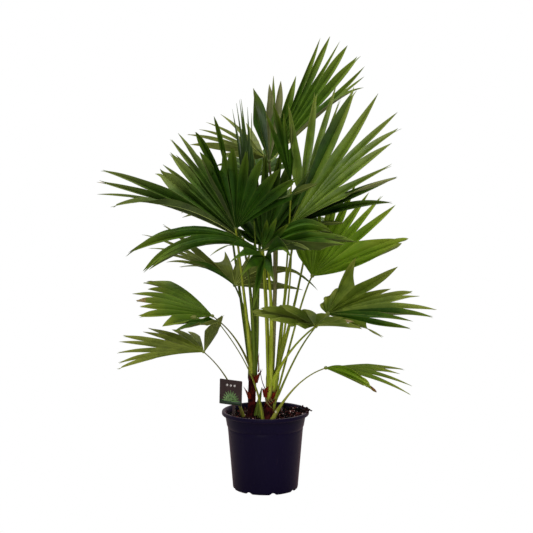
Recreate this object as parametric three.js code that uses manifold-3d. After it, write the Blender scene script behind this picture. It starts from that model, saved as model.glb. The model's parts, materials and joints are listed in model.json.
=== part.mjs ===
// Potted Chinese fan palm: two leafy clumps in a round nursery pot.
// Millimetres, +Z up, the pot stands on z = 0 with its axis on the Z axis, the front looks along +Y.
import * as THREE from 'three';
import Module from 'manifold-3d';

const wasm = await Module();
wasm.setup();

// ---------- driving sizes ----------
const GAP = 0.35;                 // clear space between neighbouring pieces
const POT = {
  rimR: 105, rimZ: 190, lip: 9,   // outside radius and height of the rolled lip
  neckR: 97, shoulderR: 93, shoulderZ: 156,
  waistR: 90.8, waistZ: 150, footR: 79, footZ: 9, edge: 4,
  wall: 2, floor: 4, notchW: 13, notchH: 4.5, notches: 8, sides: 32,
};
const SOIL = { z: 178, rise: 8, flatR: 62 };            // soil level, and how far it climbs at the right edge
const STEM_L = { base: [-34, -6], baseR: 10.5, top: [-30, -8], topR: 11.2, z: 301.5, sides: 12 };
const STEM_R = { base: [6, -34], baseR: 11, top: [17, -30], topR: 14.8, z: 271.5, sides: 12 };
const BLADE = { h: 1.5, heart: 5, taper: 1.7 };         // blade thickness, start radius at the hub, finger taper
const PETIOLE = { sides: 6, steps: 5, flat: 0.8 };      // flat = depth over width of the stalk
const LABEL = { w: 60, h: 60.5, t: 1, at: [-83, -46.5, 213.5], turn: -1.5, yaw: 27, stakeW: 7, stakeX: 9 };   // turn in its plane, yaw of its right side to the front
const FLAPS = [                                          // loose sheath fibre: foot, tip, width, thickness
  { foot: [-23, -24, 262], tip: [-12, -27, 297], w: 13, t: 1.6 },
  { foot: [-38, -20, 222], tip: [-49, -23, 254], w: 11, t: 1.6 },
  { foot: [0, -49, 232], tip: [-4, -52, 270], w: 11, t: 1.6 },
];

// Each leaf: stalk from base over mid to hub, stalk radii, n fingers joined up to `join` of their length,
// and control ribs [angle in the front view, turn to the front, length, droop], angles in degrees.
const LEAVES = {
  lower_left: { base: [-52, -16, 180], mid: [-92, -20, 271], hub: [-146, -30, 338], reach: [4.4, 2.3], n: 10, join: .55, outer: [1, .8],
    ribs: [[178, 17, 211, .17], [176, 14, 207, .15], [175, 10, 208, .06], [172, 3, 203, 0], [169, -3, 199, 0], [161, -13, 160, .04], [156, -22, 161, .08], [144, -43, 138, .14], [130, -60, 133, .15], [61, -33, 109, 0]] },
  mid_left: { base: [-37.2, -10.3, 302], mid: [-80, -8, 370], hub: [-125, -10, 421], reach: [3, 2.4], n: 8, join: .7, outer: [1, 2.2],
    ribs: [[174, 27, 133, .2], [170, 16, 184, .12], [164, 11, 182, .12], [159, 6, 196, .15], [153, 0, 215, .2], [145, -7, 193, .25], [142, -14, 222, .27], [139, -20, 230, .3]] },
  small_left: { base: [-6, -48, 180], mid: [-37, -44, 295], hub: [-112, -45, 413], reach: [4, 2.2], n: 4, join: .6,
    ribs: [[176, 34, 53, .1], [-179, 14, 106, .15], [176, 5, 118, .1], [167, 0, 68, .05]] },
  under_left: { base: [-32.3, -.8, 302], mid: [-43, 22, 397], hub: [-73, 40, 487], reach: [3, 2.6], n: 14, join: .48,
    ribs: [[131, 12, 188, .42], [138, 11, 180, .38], [140, 8, 216, .35], [140, 4, 243, .32], [140, 0, 271, .3], [139, -6, 301, .25], [135, -11, 253, .12], [108, -31, 96, 0], [85, -33, 83, 0], [64, -24, 100, 0], [50, -18, 114, 0], [41, -4, 265, .7], [30, -11, 156, .3], [7, 0, 165, .18]] },
  front: { base: [7.6, -36.1, 272], mid: [1, -47, 456], hub: [-8, -72, 585], reach: [3.1, 2.9], n: 15, join: .52, cuts: [[1, .66], [2, .66], [4, .64], [5, .66], [6, .14], [9, .14], [10, .8], [12, .78], [13, .7], [14, .35]],
    ribs: [[158, 17, 291, .47], [153, 13, 313, .57], [152, 10, 315, .59], [154, 7, 337, .42], [151, 5, 355, .48], [147, 3, 377, .57], [82, 35, 100, 0], [68, 29, 104, 0], [52, 29, 113, .08], [50, -2, 264, .63], [41, 1, 229, .5], [24, 6, 230, .28], [18, 10, 234, .19], [14, 17, 206, .12], [38, 34, 170, .44]] },
  front_low: { base: [13, -40.5, 272], mid: [13, -64, 468], hub: [-1, -96, 572], reach: [3.1, 2.9], n: 6, join: .45,
    ribs: [[63, 44, 186, .55], [23, 81, 152, .3], [-116, 63, 135, .35], [143, 68, 178, .35], [140, 58, 195, .3], [135, 39, 224, .45]] },
  heart: { base: [5.8, -29.4, 272], mid: [6, -20, 389], hub: [-6, 0, 588], reach: [3.3, 2.8], n: 12, join: .5,
    ribs: [[147, -7, 83, 0], [133, -6, 130, 0], [106, -6, 193, 0], [96, -3, 213, 0], [88, 0, 224, 0], [79, 0, 232, 0], [72, 0, 233, .02], [57, 1, 250, .05], [48, 1, 291, .08], [34, 2, 383, .12], [35, 3, 373, .3], [31, 6, 228, .25]] },
  front_left: { base: [-33.5, -14.8, 302], mid: [-48, -38, 457], hub: [-69, -65, 636], reach: [3, 3], n: 10, join: .6,
    ribs: [[112, 22, 230, .05], [106, 15, 348, .26], [98, 23, 218, .03], [98, 16, 336, .15], [92, 22, 219, .03], [82, 22, 213, .04], [72, 22, 209, .06], [58, 24, 212, .08], [47, 24, 225, .1], [38, 22, 257, .12]] },
  wide_left: { base: [-27.7, -15.2, 302], mid: [-34, -22, 462], hub: [-53, -35, 607], reach: [3, 2.8], n: 11, join: .62,
    ribs: [[143, 0, 389, .4], [151, -3, 395, .21], [151, -5, 396, .14], [147, -6, 402, .13], [139, -10, 272, .05], [135, -11, 274, .05], [129, -12, 284, .05], [127, -14, 273, .05], [123, -13, 327, .1], [119, -14, 332, .1], [118, -18, 253, .05]] },
  high_left: { base: [-22.8, -5.7, 302], mid: [-16, 90, 524], hub: [-3, 130, 792], reach: [3, 3], n: 7, join: .35,
    ribs: [[169, 0, 100, .1], [159, -9, 198, .22], [155, -16, 218, .16], [149, -25, 209, .16], [142, -31, 212, .14], [130, -38, 213, .14], [119, -58, 178, .03]] },
  edge_left: { base: [-23.2, -11.5, 302], mid: [-18, -14, 461], hub: [-29, -8, 670], reach: [3, 2.8], n: 6, join: .5,
    ribs: [[102, -24, 275, .02], [99, -17, 270, 0], [97, -11, 274, 0], [96, -4, 270, 0], [93, 2, 249, 0], [91, 8, 245, .02]] },
  top: { base: [14.1, -19.2, 272], mid: [23, 25, 547], hub: [9, 45, 785], reach: [3.3, 3], n: 13, join: .56, outer: [2.2, 1],
    ribs: [[102, 0, 180, 0], [90, -9, 189, 0], [87, -12, 209, 0], [82, -17, 204, 0], [72, -23, 232, 0], [66, -22, 342, -.01], [63, -24, 361, -.02], [58, -24, 362, -.02], [55, -23, 367, 0], [50, -21, 365, .02], [44, -18, 350, .03], [44, -15, 339, .07], [47, -12, 340, .17]] },
  top_front: { base: [28.2, -30.6, 272], mid: [49, -32, 554], hub: [60, -35, 739], reach: [3.3, 3.3], n: 4, join: .5, outer: [1, 1.6],
    ribs: [[108, 16, 205, .08], [101, 14, 224, .1], [96, 16, 182, .02], [90, 19, 155, 0]] },
  right_upright: { base: [26.4, -23.9, 272], mid: [52, 12, 505], hub: [85, 10, 692], reach: [3.3, 2.8], n: 4, join: .35, outer: [1.6, 1],
    ribs: [[97, 5, 240, 0], [83, 0, 263, 0], [74, -3, 300, .03], [69, -5, 267, 0]] },
  right_long: { base: [25.7, -37, 272], mid: [56, -34, 488], hub: [58, -36, 640], reach: [3.3, 2.8], n: 7, join: .5,
    ribs: [[65, 0, 360, 0], [53, 3, 337, -.13], [51, 6, 398, .1], [50, 9, 399, .17], [45, 12, 338, .1], [37, 15, 303, .09], [34, 17, 308, .14]] },
  right_fan: { base: [29, -34, 236], mid: [79, -18, 430], hub: [111, -8, 517], reach: [3, 3.1], n: 13, join: .58, fused: 10, cuts: [[11, .95], [12, .95]],
    ribs: [[116, 0, 105, .03], [103, -1, 123, 0], [90, -4, 153, 0], [83, -8, 173, 0], [76, -11, 195, 0], [72, -13, 224, 0], [64, -14, 250, 0], [55, -14, 247, 0], [48, -10, 257, 0], [40, -5, 262, 0], [36, 4, 221, .19], [27, 6, 257, .1], [19, 10, 206, -.02]] },
  right_low: { base: [36, -26, 236], mid: [82, -32, 346], hub: [146, -45, 432], reach: [3, 3.1], n: 13, join: .55, cuts: [[1, .9], [2, .9], [7, .7], [8, .62], [9, .64], [10, .5], [11, .5]],
    ribs: [[117, -38, 33, 0], [90, -29, 45, 0], [66, -19, 68, 0], [63, -6, 151, 0], [34, -7, 207, .04], [24, -7, 167, .05], [19, -3, 215, .08], [17, 2, 228, .1], [12, 9, 264, .14], [8, 14, 254, .12], [6, 22, 213, .12], [-8, 24, 211, -.03], [-11, 33, 154, .1]] },
  right_small: { base: [19.9, -40.8, 272], mid: [58, -50, 344], hub: [117, -70, 407], reach: [3.2, 3.7], n: 11, join: .66, cuts: [[6, .84], [7, .86], [8, .88], [9, .8]],
    ribs: [[10, 22, 118, .15], [24, 37, 113, .1], [44, 54, 112, .08], [102, 60, 127, .06], [136, 42, 150, .08], [152, 23, 181, .12], [157, 24, 196, .14], [157, 35, 172, .14], [151, 60, 139, .1]] },
  lower_right: { base: [17, -56, 180], mid: [72, -62, 267], hub: [141, -70, 307], reach: [4, 2.6], n: 7, join: .5, fused: 4, outer: [1, .5], cuts: [[1, .66]],
    ribs: [[3, -12, 194, .11], [4, 0, 177, .15], [0, 8, 205, .18], [-3, 17, 207, .2], [11, 32, 134, .45], [-10, 36, 144, .14], [-17, 39, 147, .04]] },
  back_right: { base: [8.3, -23, 272], mid: [24, 60, 440], hub: [28, 110, 610], reach: [3, 2.6], n: 11, join: .52,
    ribs: [[20, -55, 240, .15], [50, -62, 310, .15], [90, -66, 330, .12], [135, -60, 310, .15], [160, -50, 260, .15]] },
  back_left: { base: [-36.8, -4.5, 302], mid: [-58, 50, 450], hub: [-88, 90, 650], reach: [3, 2.6], n: 10, join: .52,
    ribs: [[170, -45, 170, .2], [150, -60, 270, .2], [110, -70, 310, .2], [60, -65, 290, .2], [20, -50, 200, .2]] },
  back_far_right: { base: [21, -19.5, 272], mid: [66, 42, 428], hub: [104, 76, 606], reach: [3, 2.6], n: 9, join: .52,
    ribs: [[20, -68, 220, .2], [50, -72, 280, .2], [90, -74, 300, .2], [124, -72, 270, .2], [150, -70, 180, .2]] },
  back_top: { base: [-26.5, -1.2, 302], mid: [-26, 95, 510], hub: [-22, 160, 740], reach: [3, 2.6], n: 11, join: .52,
    ribs: [[175, -60, 220, .12], [150, -66, 300, .12], [110, -70, 330, .1], [60, -68, 300, .1], [20, -58, 220, .1]] },
};

// ---------- small helpers ----------
const V = (x, y, z) => new THREE.Vector3(x, y, z);
const rad = THREE.MathUtils.degToRad;
const mid = (a, b) => a.clone().add(b).multiplyScalar(0.5);

function geometryFrom(points, faces) {
  const g = new THREE.BufferGeometry();
  g.setAttribute('position', new THREE.Float32BufferAttribute(points.flatMap((p) => [p.x, p.y, p.z]), 3));
  g.setIndex(faces.flat());
  return g;
}

function toManifold(points, faces) {
  let vol = 0;
  for (const [a, b, c] of faces) vol += points[a].dot(points[b].clone().cross(points[c]));
  const tri = vol < 0 ? faces.map(([a, b, c]) => [a, c, b]) : faces;
  return new wasm.Manifold(new wasm.Mesh({
    numProp: 3,
    vertProperties: new Float32Array(points.flatMap((p) => [p.x, p.y, p.z])),
    triVerts: new Uint32Array(tri.flat()),
  }));
}

function fromManifold(m) {
  const mesh = m.getMesh();
  const pts = [];
  for (let i = 0; i < mesh.vertProperties.length; i += mesh.numProp)
    pts.push(V(mesh.vertProperties[i], mesh.vertProperties[i + 1], mesh.vertProperties[i + 2]));
  const faces = [];
  for (let i = 0; i < mesh.triVerts.length; i += 3)
    faces.push([mesh.triVerts[i], mesh.triVerts[i + 1], mesh.triVerts[i + 2]]);
  return geometryFrom(pts, faces);
}

const largest = (m) => m.decompose().sort((a, b) => b.volume() - a.volume())[0];

// ---------- leaf blade ----------
function ribDirection([a, d]) {
  return V(Math.cos(rad(a)) * Math.cos(rad(d)), -Math.sin(rad(d)), Math.sin(rad(a)) * Math.cos(rad(d)));
}

function spreadRibs(leaf) {
  const K = leaf.ribs, out = [];
  for (let i = 0; i < leaf.n; i++) {
    const w = ((K.length - 1) * i) / (leaf.n - 1);
    const k = Math.min(Math.floor(w + 1e-9), K.length - 2), u = w - k;
    const p = ribDirection(K[k]), q = ribDirection(K[k + 1]);
    const om = p.angleTo(q);
    const dir = om < 1e-6 ? p : p.multiplyScalar(Math.sin((1 - u) * om)).addScaledVector(q, Math.sin(u * om)).divideScalar(Math.sin(om));
    out.push({ dir, len: K[k][2] * (1 - u) + K[k + 1][2] * u, sag: K[k][3] * (1 - u) + K[k + 1][3] * u });
  }
  return out;
}

function bladeSolid(leaf, grow = 0) {
  const hub = V(...leaf.hub), R = spreadRibs(leaf), n = leaf.n;
  const on = (r, t) => hub.clone().addScaledVector(r.dir, r.len * t).add(V(0, 0, -r.len * r.sag * Math.pow(t, 2.2)));
  const outer = leaf.outer ?? [1, 1];                                                    // how far the blade goes on past its outer ribs
  const ghost = (a, b, f) => ({ at: (t) => on(a, t).multiplyScalar(1 + f).addScaledVector(on(b, t), -f) });
  const ribs = [ghost(R[0], R[1], outer[0]), ...R.map((r) => ({ at: (t) => on(r, t) })), ghost(R[n - 1], R[n - 2], outer[1])];
  const joinOf = (i) => (leaf.fused !== undefined && i >= leaf.fused ? 0.88 : leaf.join);
  const edge = (k, t) => mid(ribs[k].at(t), ribs[k + 1].at(t));                          // k = 0..n
  const half = BLADE.h / 2 + grow;
  const points = [], faces = [];
  const pair = (p, nrm) => { points.push(p.clone().addScaledVector(nrm, half), p.clone().addScaledVector(nrm, -half)); return points.length - 2; };
  const quad = (a, b, c, d) => faces.push([a, b, c], [a, c, d]);
  const slope = (f, t) => f(Math.min(1, t + 0.02)).sub(f(Math.max(0, t - 0.02)));
  const edgePair = (k, t) => {
    const across = ribs[k + 1].at(t).sub(ribs[k].at(t));
    return pair(edge(k, t), slope((s) => edge(k, s), t).cross(across).normalize());
  };
  // joined part: shared edge columns
  const cutAt = new Map(leaf.cuts ?? []);                                                // folds that part nearer the hub
  const jointAt = (k) => cutAt.get(k) ?? Math.min(joinOf(Math.max(0, k - 1)), joinOf(Math.min(n - 1, k)));
  const cols = [];
  for (let k = 0; k <= n; k++) {
    const r = (R[Math.max(0, k - 1)].len + R[Math.min(n - 1, k)].len) / 2;
    const t0 = (BLADE.heart - grow) / r, t1 = jointAt(k);
    cols.push([t0, (t0 + t1) / 2, t1].map((t) => edgePair(k, t)));
  }
  for (let i = 0; i < n; i++) {
    const A = cols[i], B = cols[i + 1];
    for (let s = 0; s < 2; s++) {
      quad(A[s], B[s], B[s + 1], A[s + 1]);
      quad(A[s] + 1, A[s + 1] + 1, B[s + 1] + 1, B[s] + 1);
    }
    quad(A[0] + 1, B[0] + 1, B[0], A[0]);                                                // inner wall
    // free finger
    const j = Math.max(jointAt(i), jointAt(i + 1));
    const cl = (t) => ribs[i + 1].at(t);
    const wide = edge(i + 1, j).distanceTo(edge(i, j)) / 2 + grow;
    let l = A[2], r = B[2];
    const quadSide = (p, q) => quad(p, q, q + 1, p + 1);
    for (const u of [0.5, 1]) {
      const t = j + (1 - j) * u, c = cl(t), along = slope(cl, t);
      const across = edge(i + 1, t).sub(edge(i, t)).normalize();
      const nrm = along.cross(across).normalize();
      if (u < 1) {
        const w = wide * (1 - Math.pow(u, BLADE.taper));
        const l2 = pair(c.clone().addScaledVector(across, -w), nrm), r2 = pair(c.clone().addScaledVector(across, w), nrm);
        quad(l, r, r2, l2); quad(l + 1, l2 + 1, r2 + 1, r + 1);
        quadSide(l, l2); quadSide(r2, r);
        l = l2; r = r2;
      } else {
        const e = pair(c, nrm);
        faces.push([l, r, e], [l + 1, e + 1, r + 1]);
        quadSide(l, e); quadSide(e, r);
      }
    }
  }
  // outer side walls of the joined part
  for (let s = 0; s < 2; s++) {
    quad(cols[0][s], cols[0][s + 1], cols[0][s + 1] + 1, cols[0][s] + 1);
    quad(cols[n][s + 1], cols[n][s], cols[n][s] + 1, cols[n][s + 1] + 1);
  }
  return toManifold(points, faces);
}

// ---------- stalk ----------
function stalkSolid(leaf, grow = 0) {
  const B = V(...leaf.base), M = V(...leaf.mid), H = V(...leaf.hub);
  const C = M.clone().multiplyScalar(2).addScaledVector(B, -0.5).addScaledVector(H, -0.5);
  const curve = new THREE.QuadraticBezierCurve3(B, C, H);
  const end = 1 - (BLADE.heart + 1.5 - grow) / curve.getLength();
  const points = [], faces = [], S = PETIOLE.sides;
  for (let k = 0; k <= PETIOLE.steps; k++) {
    const t = (end * k) / PETIOLE.steps, p = curve.getPoint(t), dir = curve.getTangent(t);
    const flatTo = k === 0 ? V(0, 0, 1) : dir;                                           // first ring is a level cut
    const side = V(flatTo.y, -flatTo.x, 0).lengthSq() < 1e-8 ? V(1, 0, 0) : flatTo.clone().cross(V(0, 1, 0)).normalize();
    const up = side.clone().cross(flatTo).normalize();
    const r = leaf.reach[0] + (leaf.reach[1] - leaf.reach[0]) * (t / end) + grow;
    for (let s = 0; s < S; s++) {
      const a = (2 * Math.PI * (s + 0.5)) / S;
      points.push(p.clone().addScaledVector(side, r * Math.cos(a)).addScaledVector(up, r * (grow ? 1 : PETIOLE.flat) * Math.sin(a)));
    }
  }
  for (let k = 0; k < PETIOLE.steps; k++)
    for (let s = 0; s < S; s++) {
      const a = k * S + s, b = k * S + ((s + 1) % S);
      faces.push([a, b, b + S], [a, b + S, a + S]);
    }
  const last = PETIOLE.steps * S;
  for (let s = 1; s < S - 1; s++) faces.push([0, s + 1, s], [last, last + s, last + s + 1]);
  return toManifold(points, faces);
}

// ---------- pot, soil, stems, label, sheath fibre ----------
function revolve(profile, sides, reshape = (p) => p) {
  const g = new THREE.LatheGeometry(profile.map(([r, z]) => new THREE.Vector2(r, z)), sides);
  const pos = g.attributes.position, points = [], index = [], seen = new Map();
  for (let i = 0; i < pos.count; i++) {
    const p = reshape(V(pos.getX(i), -pos.getZ(i), pos.getY(i)));
    const key = [p.x, p.y, p.z].map((v) => Math.round(v * 1e3) + 0).join();
    if (!seen.has(key)) { seen.set(key, points.length); points.push(p); }
    index.push(seen.get(key));
  }
  const faces = [];
  for (let i = 0; i < g.index.count; i += 3) {
    const f = [0, 1, 2].map((k) => index[g.index.getX(i + k)]);
    if (new Set(f).size === 3) faces.push(f);
  }
  return toManifold(points, faces);
}

const innerR = (z) => {                                                                   // inside radius of the pot wall
  const steps = [[POT.footZ, POT.footR], [POT.waistZ, POT.waistR], [POT.shoulderZ, POT.shoulderR], [POT.rimZ - POT.lip, POT.neckR], [POT.rimZ, POT.neckR + 1.5]];
  for (let i = 0; i < steps.length - 1; i++)
    if (z <= steps[i + 1][0]) {
      const u = (z - steps[i][0]) / (steps[i + 1][0] - steps[i][0]);
      return steps[i][1] + u * (steps[i + 1][1] - steps[i][1]) - POT.wall;
    }
  return POT.neckR - POT.wall;
};

function potSolid() {
  const P = POT, lipZ = P.rimZ - P.lip;
  const outer = [[0, 0], [P.footR - P.edge, 0], [P.footR - 1.2, 2], [P.footR, P.footZ], [P.waistR, P.waistZ],
    [P.shoulderR, P.shoulderZ], [P.neckR, lipZ - 1.5], [P.rimR - 1.5, lipZ], [P.rimR, lipZ + 2], [P.rimR, P.rimZ - 1.5], [P.rimR - 1.5, P.rimZ]];
  const inner = [P.rimZ, lipZ, P.shoulderZ, P.waistZ, P.footZ].map((z) => [innerR(z), z]);
  let pot = revolve([...outer, ...inner, [innerR(P.footZ) - 3, P.floor], [0, P.floor]], P.sides);
  for (let k = 0; k < P.notches; k++) {                                                   // water notches under the foot edge
    const a = (2 * Math.PI * (k + 0.31)) / P.notches, w = P.notchW / 2, r0 = P.footR - 7, r1 = P.footR + 6;
    const out = V(Math.cos(a), Math.sin(a), 0), side = V(-Math.sin(a), Math.cos(a), 0), pts = [], fs = [];
    for (const r of [r0, r1])
      for (const [x, z] of [[-w, -1], [w, -1], [w * 0.8, P.notchH * 0.6], [0, P.notchH * 0.85], [-w * 0.8, P.notchH * 0.6]])
        pts.push(out.clone().multiplyScalar(r).addScaledVector(side, x).add(V(0, 0, z)));
    for (let s = 0; s < 5; s++) { const b = (s + 1) % 5; fs.push([s, b, b + 5], [s, b + 5, s + 5]); }
    for (let s = 1; s < 4; s++) fs.push([0, s + 1, s], [5, 5 + s, 6 + s]);
    pot = pot.subtract(toManifold(pts, fs));
  }
  return pot;
}

function soilSolid() {
  const P = POT, S = SOIL, rs = [P.footZ, 60, P.waistZ, S.z - 3];
  const side = rs.map((z) => [innerR(z) - GAP, z]);
  const climb = (p) => {
    const r = Math.hypot(p.x, p.y);
    if (p.z < S.z - 4 || r < S.flatR) return p;
    const toRight = Math.max(0, Math.cos(Math.atan2(p.y, p.x) - 0.35));
    return V(p.x, p.y, p.z + S.rise * Math.pow(toRight, 1.5) * Math.min(1, (r - S.flatR) / 25));
  };
  return revolve([[0, P.floor + GAP], [innerR(P.footZ) - 3 - GAP, P.floor + GAP], ...side, [innerR(S.z) - 5, S.z], [S.flatR, S.z], [0, S.z]], P.sides, climb);
}

function stemSolid(S, grow = 0) {
  const points = [], faces = [], n = S.sides, z0 = SOIL.z + GAP, levels = [0, 0.3, 0.65, 1];
  for (const u of levels) {
    const r = S.baseR + (S.topR - S.baseR) * u + (u === 0.3 ? -0.8 : 0) + grow;
    for (let s = 0; s < n; s++) {
      const a = (2 * Math.PI * s) / n;
      points.push(V(S.base[0] + (S.top[0] - S.base[0]) * u + r * Math.cos(a), S.base[1] + (S.top[1] - S.base[1]) * u + r * Math.sin(a),
        z0 + (S.z - z0) * u + (u === 1 ? grow : u === 0 ? -grow : 0)));
    }
  }
  for (let k = 0; k < levels.length - 1; k++)
    for (let s = 0; s < n; s++) {
      const a = k * n + s, b = k * n + ((s + 1) % n);
      faces.push([a, b, b + n], [a, b + n, a + n]);
    }
  const last = (levels.length - 1) * n;
  for (let s = 1; s < n - 1; s++) faces.push([0, s + 1, s], [last, last + s, last + s + 1]);
  return toManifold(points, faces);
}

function labelSolid() {
  const L = LABEL, turn = rad(L.turn), yaw = rad(L.yaw), pts = [], fs = [], foot = L.at[2] - SOIL.z - GAP - 1;
  const s0 = L.stakeX - L.stakeW / 2, s1 = L.stakeX + L.stakeW / 2;
  const outline = [[-L.w / 2, 0], [s0, 0], [s0, -foot], [s1, -foot], [s1, 0], [L.w / 2, 0], [L.w / 2, L.h], [-L.w / 2, L.h]];
  for (const y of [-L.t / 2, L.t / 2])
    for (const [x, z] of outline) {
      const u = x * Math.cos(turn) - z * Math.sin(turn), v = x * Math.sin(turn) + z * Math.cos(turn);
      pts.push(V(L.at[0] + u * Math.cos(yaw) + y * Math.sin(yaw), L.at[1] - u * Math.sin(yaw) + y * Math.cos(yaw), L.at[2] + v));
    }
  const n = outline.length;
  for (let s = 0; s < n; s++) { const b = (s + 1) % n; fs.push([s, b, b + n], [s, b + n, s + n]); }
  const cap = [[0, 1, 7], [1, 4, 7], [4, 6, 7], [4, 5, 6], [1, 2, 4], [2, 3, 4]];
  for (const [a, b, c] of cap) fs.push([c, b, a], [a + n, b + n, c + n]);
  return toManifold(pts, fs);
}

function flapSolid(f, grow = 0) {
  const foot = V(...f.foot), tip = V(...f.tip), up = tip.clone().sub(foot), w = f.w / 2 + grow, t = f.t / 2 + grow;
  const side = V(1, 0, 0), out = V(0, -1, 0), pts = [], fs = [];
  for (const [u, k, bulge] of [[0, 0.7, 0], [0.45, 1, 1.5], [1, 0.12, 0]])
    for (const [a, b] of [[-1, -1], [1, -1], [1, 1], [-1, 1]])
      pts.push(foot.clone().addScaledVector(up, u).addScaledVector(side, a * w * k).addScaledVector(out, b * t + bulge));
  for (let k = 0; k < 2; k++)
    for (let s = 0; s < 4; s++) { const a = k * 4 + s, b = k * 4 + ((s + 1) % 4); fs.push([a, b, b + 4], [a, b + 4, a + 4]); }
  fs.push([0, 2, 1], [0, 3, 2], [8, 9, 10], [8, 10, 11]);
  return toManifold(pts, fs);
}

// ---------- assembly ----------
const TONE = {
  pot: '#1b1a26', soil: '#2a1c17', stem: '#4a1a12', stalk: '#8a9138', leaf: '#3f6a1c', pale: '#6d7d33', label: '#2f2320',
};
const bodies = [];                                              // { name, solid, grown, tone }
const add = (name, solid, grown, tone, rough = 0.6) => bodies.push({ name, solid, grown, tone, rough });

add('pot', potSolid(), null, TONE.pot, 0.55);
add('soil', soilSolid(), null, TONE.soil, 0.95);
add('stem_left', stemSolid(STEM_L), stemSolid(STEM_L, GAP), TONE.stem, 0.8);
add('stem_right', stemSolid(STEM_R), stemSolid(STEM_R, GAP), TONE.stem, 0.8);
for (const [key, leaf] of Object.entries(LEAVES))
  add(`petiole_${key}`, stalkSolid(leaf), stalkSolid(leaf, GAP), TONE.stalk, 0.5);
for (const [key, leaf] of Object.entries(LEAVES))
  add(`frond_${key}`, bladeSolid(leaf), bladeSolid(leaf, GAP), key.includes('under') || key.includes('high') ? TONE.pale : TONE.leaf, 0.45);
add('plant_label', labelSolid(), null, TONE.label, 0.6);
FLAPS.forEach((f, i) => add(`sheath_flap_${i + 1}`, flapSolid(f), null, TONE.stem, 0.8));

// later pieces give way to earlier ones wherever two would touch
for (let i = 1; i < bodies.length; i++)
  for (let k = 0; k < i; k++) {
    const a = bodies[k], b = bodies[i];
    if (!a.grown) continue;
    const A = a.grown.boundingBox(), B = b.solid.boundingBox();
    if ([0, 1, 2].some((c) => A.max[c] < B.min[c] || B.max[c] < A.min[c])) continue;
    if (a.grown.intersect(b.solid).volume() > 1e-4) b.solid = largest(b.solid.subtract(a.grown));
  }

const group = new THREE.Group();
for (const b of bodies) {
  const mesh = new THREE.Mesh(fromManifold(b.solid), new THREE.MeshStandardMaterial({ color: b.tone, roughness: b.rough }));
  mesh.name = b.name;
  group.add(mesh);
}
export default group;
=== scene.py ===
"""Potted Chinese fan palm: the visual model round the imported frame. Metres, +Z up, the front looks along +Y."""
import json
import math

import bpy
import numpy as np
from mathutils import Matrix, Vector

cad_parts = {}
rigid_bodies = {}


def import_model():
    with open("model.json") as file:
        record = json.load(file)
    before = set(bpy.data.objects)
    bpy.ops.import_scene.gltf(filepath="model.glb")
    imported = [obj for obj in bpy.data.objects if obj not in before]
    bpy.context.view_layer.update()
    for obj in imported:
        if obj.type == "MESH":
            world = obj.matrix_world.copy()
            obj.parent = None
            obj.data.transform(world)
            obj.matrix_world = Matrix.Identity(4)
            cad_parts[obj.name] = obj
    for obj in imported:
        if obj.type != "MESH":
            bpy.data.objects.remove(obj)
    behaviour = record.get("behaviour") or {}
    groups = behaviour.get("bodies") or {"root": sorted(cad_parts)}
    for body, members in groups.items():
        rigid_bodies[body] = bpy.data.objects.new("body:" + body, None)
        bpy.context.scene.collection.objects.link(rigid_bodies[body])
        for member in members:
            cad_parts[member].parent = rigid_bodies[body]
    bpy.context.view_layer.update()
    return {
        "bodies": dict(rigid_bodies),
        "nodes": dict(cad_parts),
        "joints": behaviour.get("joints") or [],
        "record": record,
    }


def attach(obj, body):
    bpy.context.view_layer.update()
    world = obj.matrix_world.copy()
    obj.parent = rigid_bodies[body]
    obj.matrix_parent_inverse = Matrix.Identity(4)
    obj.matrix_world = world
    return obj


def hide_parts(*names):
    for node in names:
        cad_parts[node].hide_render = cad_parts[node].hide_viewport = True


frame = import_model()
MM = 0.001
UP = np.array([0.0, 0.0, 1.0])

# ------------------------------------------------------------------ camera
cam_data = bpy.data.cameras.new("camera")
cam_data.sensor_width = 36.0
cam_data.lens = 114.4
cam_data.clip_start, cam_data.clip_end = 0.05, 200.0
camera = bpy.data.objects.new("camera", cam_data)
bpy.context.scene.collection.objects.link(camera)
camera.location = (0.0026, -4.0, 1.058)
camera.rotation_euler = (math.radians(90 - 7.39), 0.0, 0.0)
bpy.context.scene.camera = camera
bpy.context.scene.view_settings.view_transform = "Standard"
bpy.context.scene.view_settings.look = "None"

# ------------------------------------------------------------------ driving sizes, as in the CAD (mm, degrees)
POT = dict(rimR=105.0, rimZ=190.0, lip=9.0, neckR=97.0, shoulderR=93.0, shoulderZ=156.0, waistR=90.8, waistZ=150.0,
           footR=79.0, footZ=9.0, edge=4.0, wall=2.0, floor=4.0, notchW=13.0, notchH=4.5, notches=8)
SOIL = dict(z=178.0, rise=8.0, flatR=62.0)
STEM_L = dict(base=(-34, -6), baseR=10.5, top=(-30, -8), topR=11.2, z=301.5)
STEM_R = dict(base=(6, -34), baseR=11.0, top=(17, -30), topR=14.8, z=271.5)
LABEL = dict(w=60.0, h=60.5, t=1.0, at=(-83, -46.5, 213.5), turn=-1.5, yaw=27.0, stake=7.0, stake_x=9.0)
FLAPS = [dict(foot=(-23, -24, 262), tip=(-12, -27, 297), w=16.0),
         dict(foot=(-38, -20, 222), tip=(-49, -23, 254), w=13.5),
         dict(foot=(0, -49, 232), tip=(-4, -52, 270), w=13.5)]
HEART = 5.0

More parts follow.
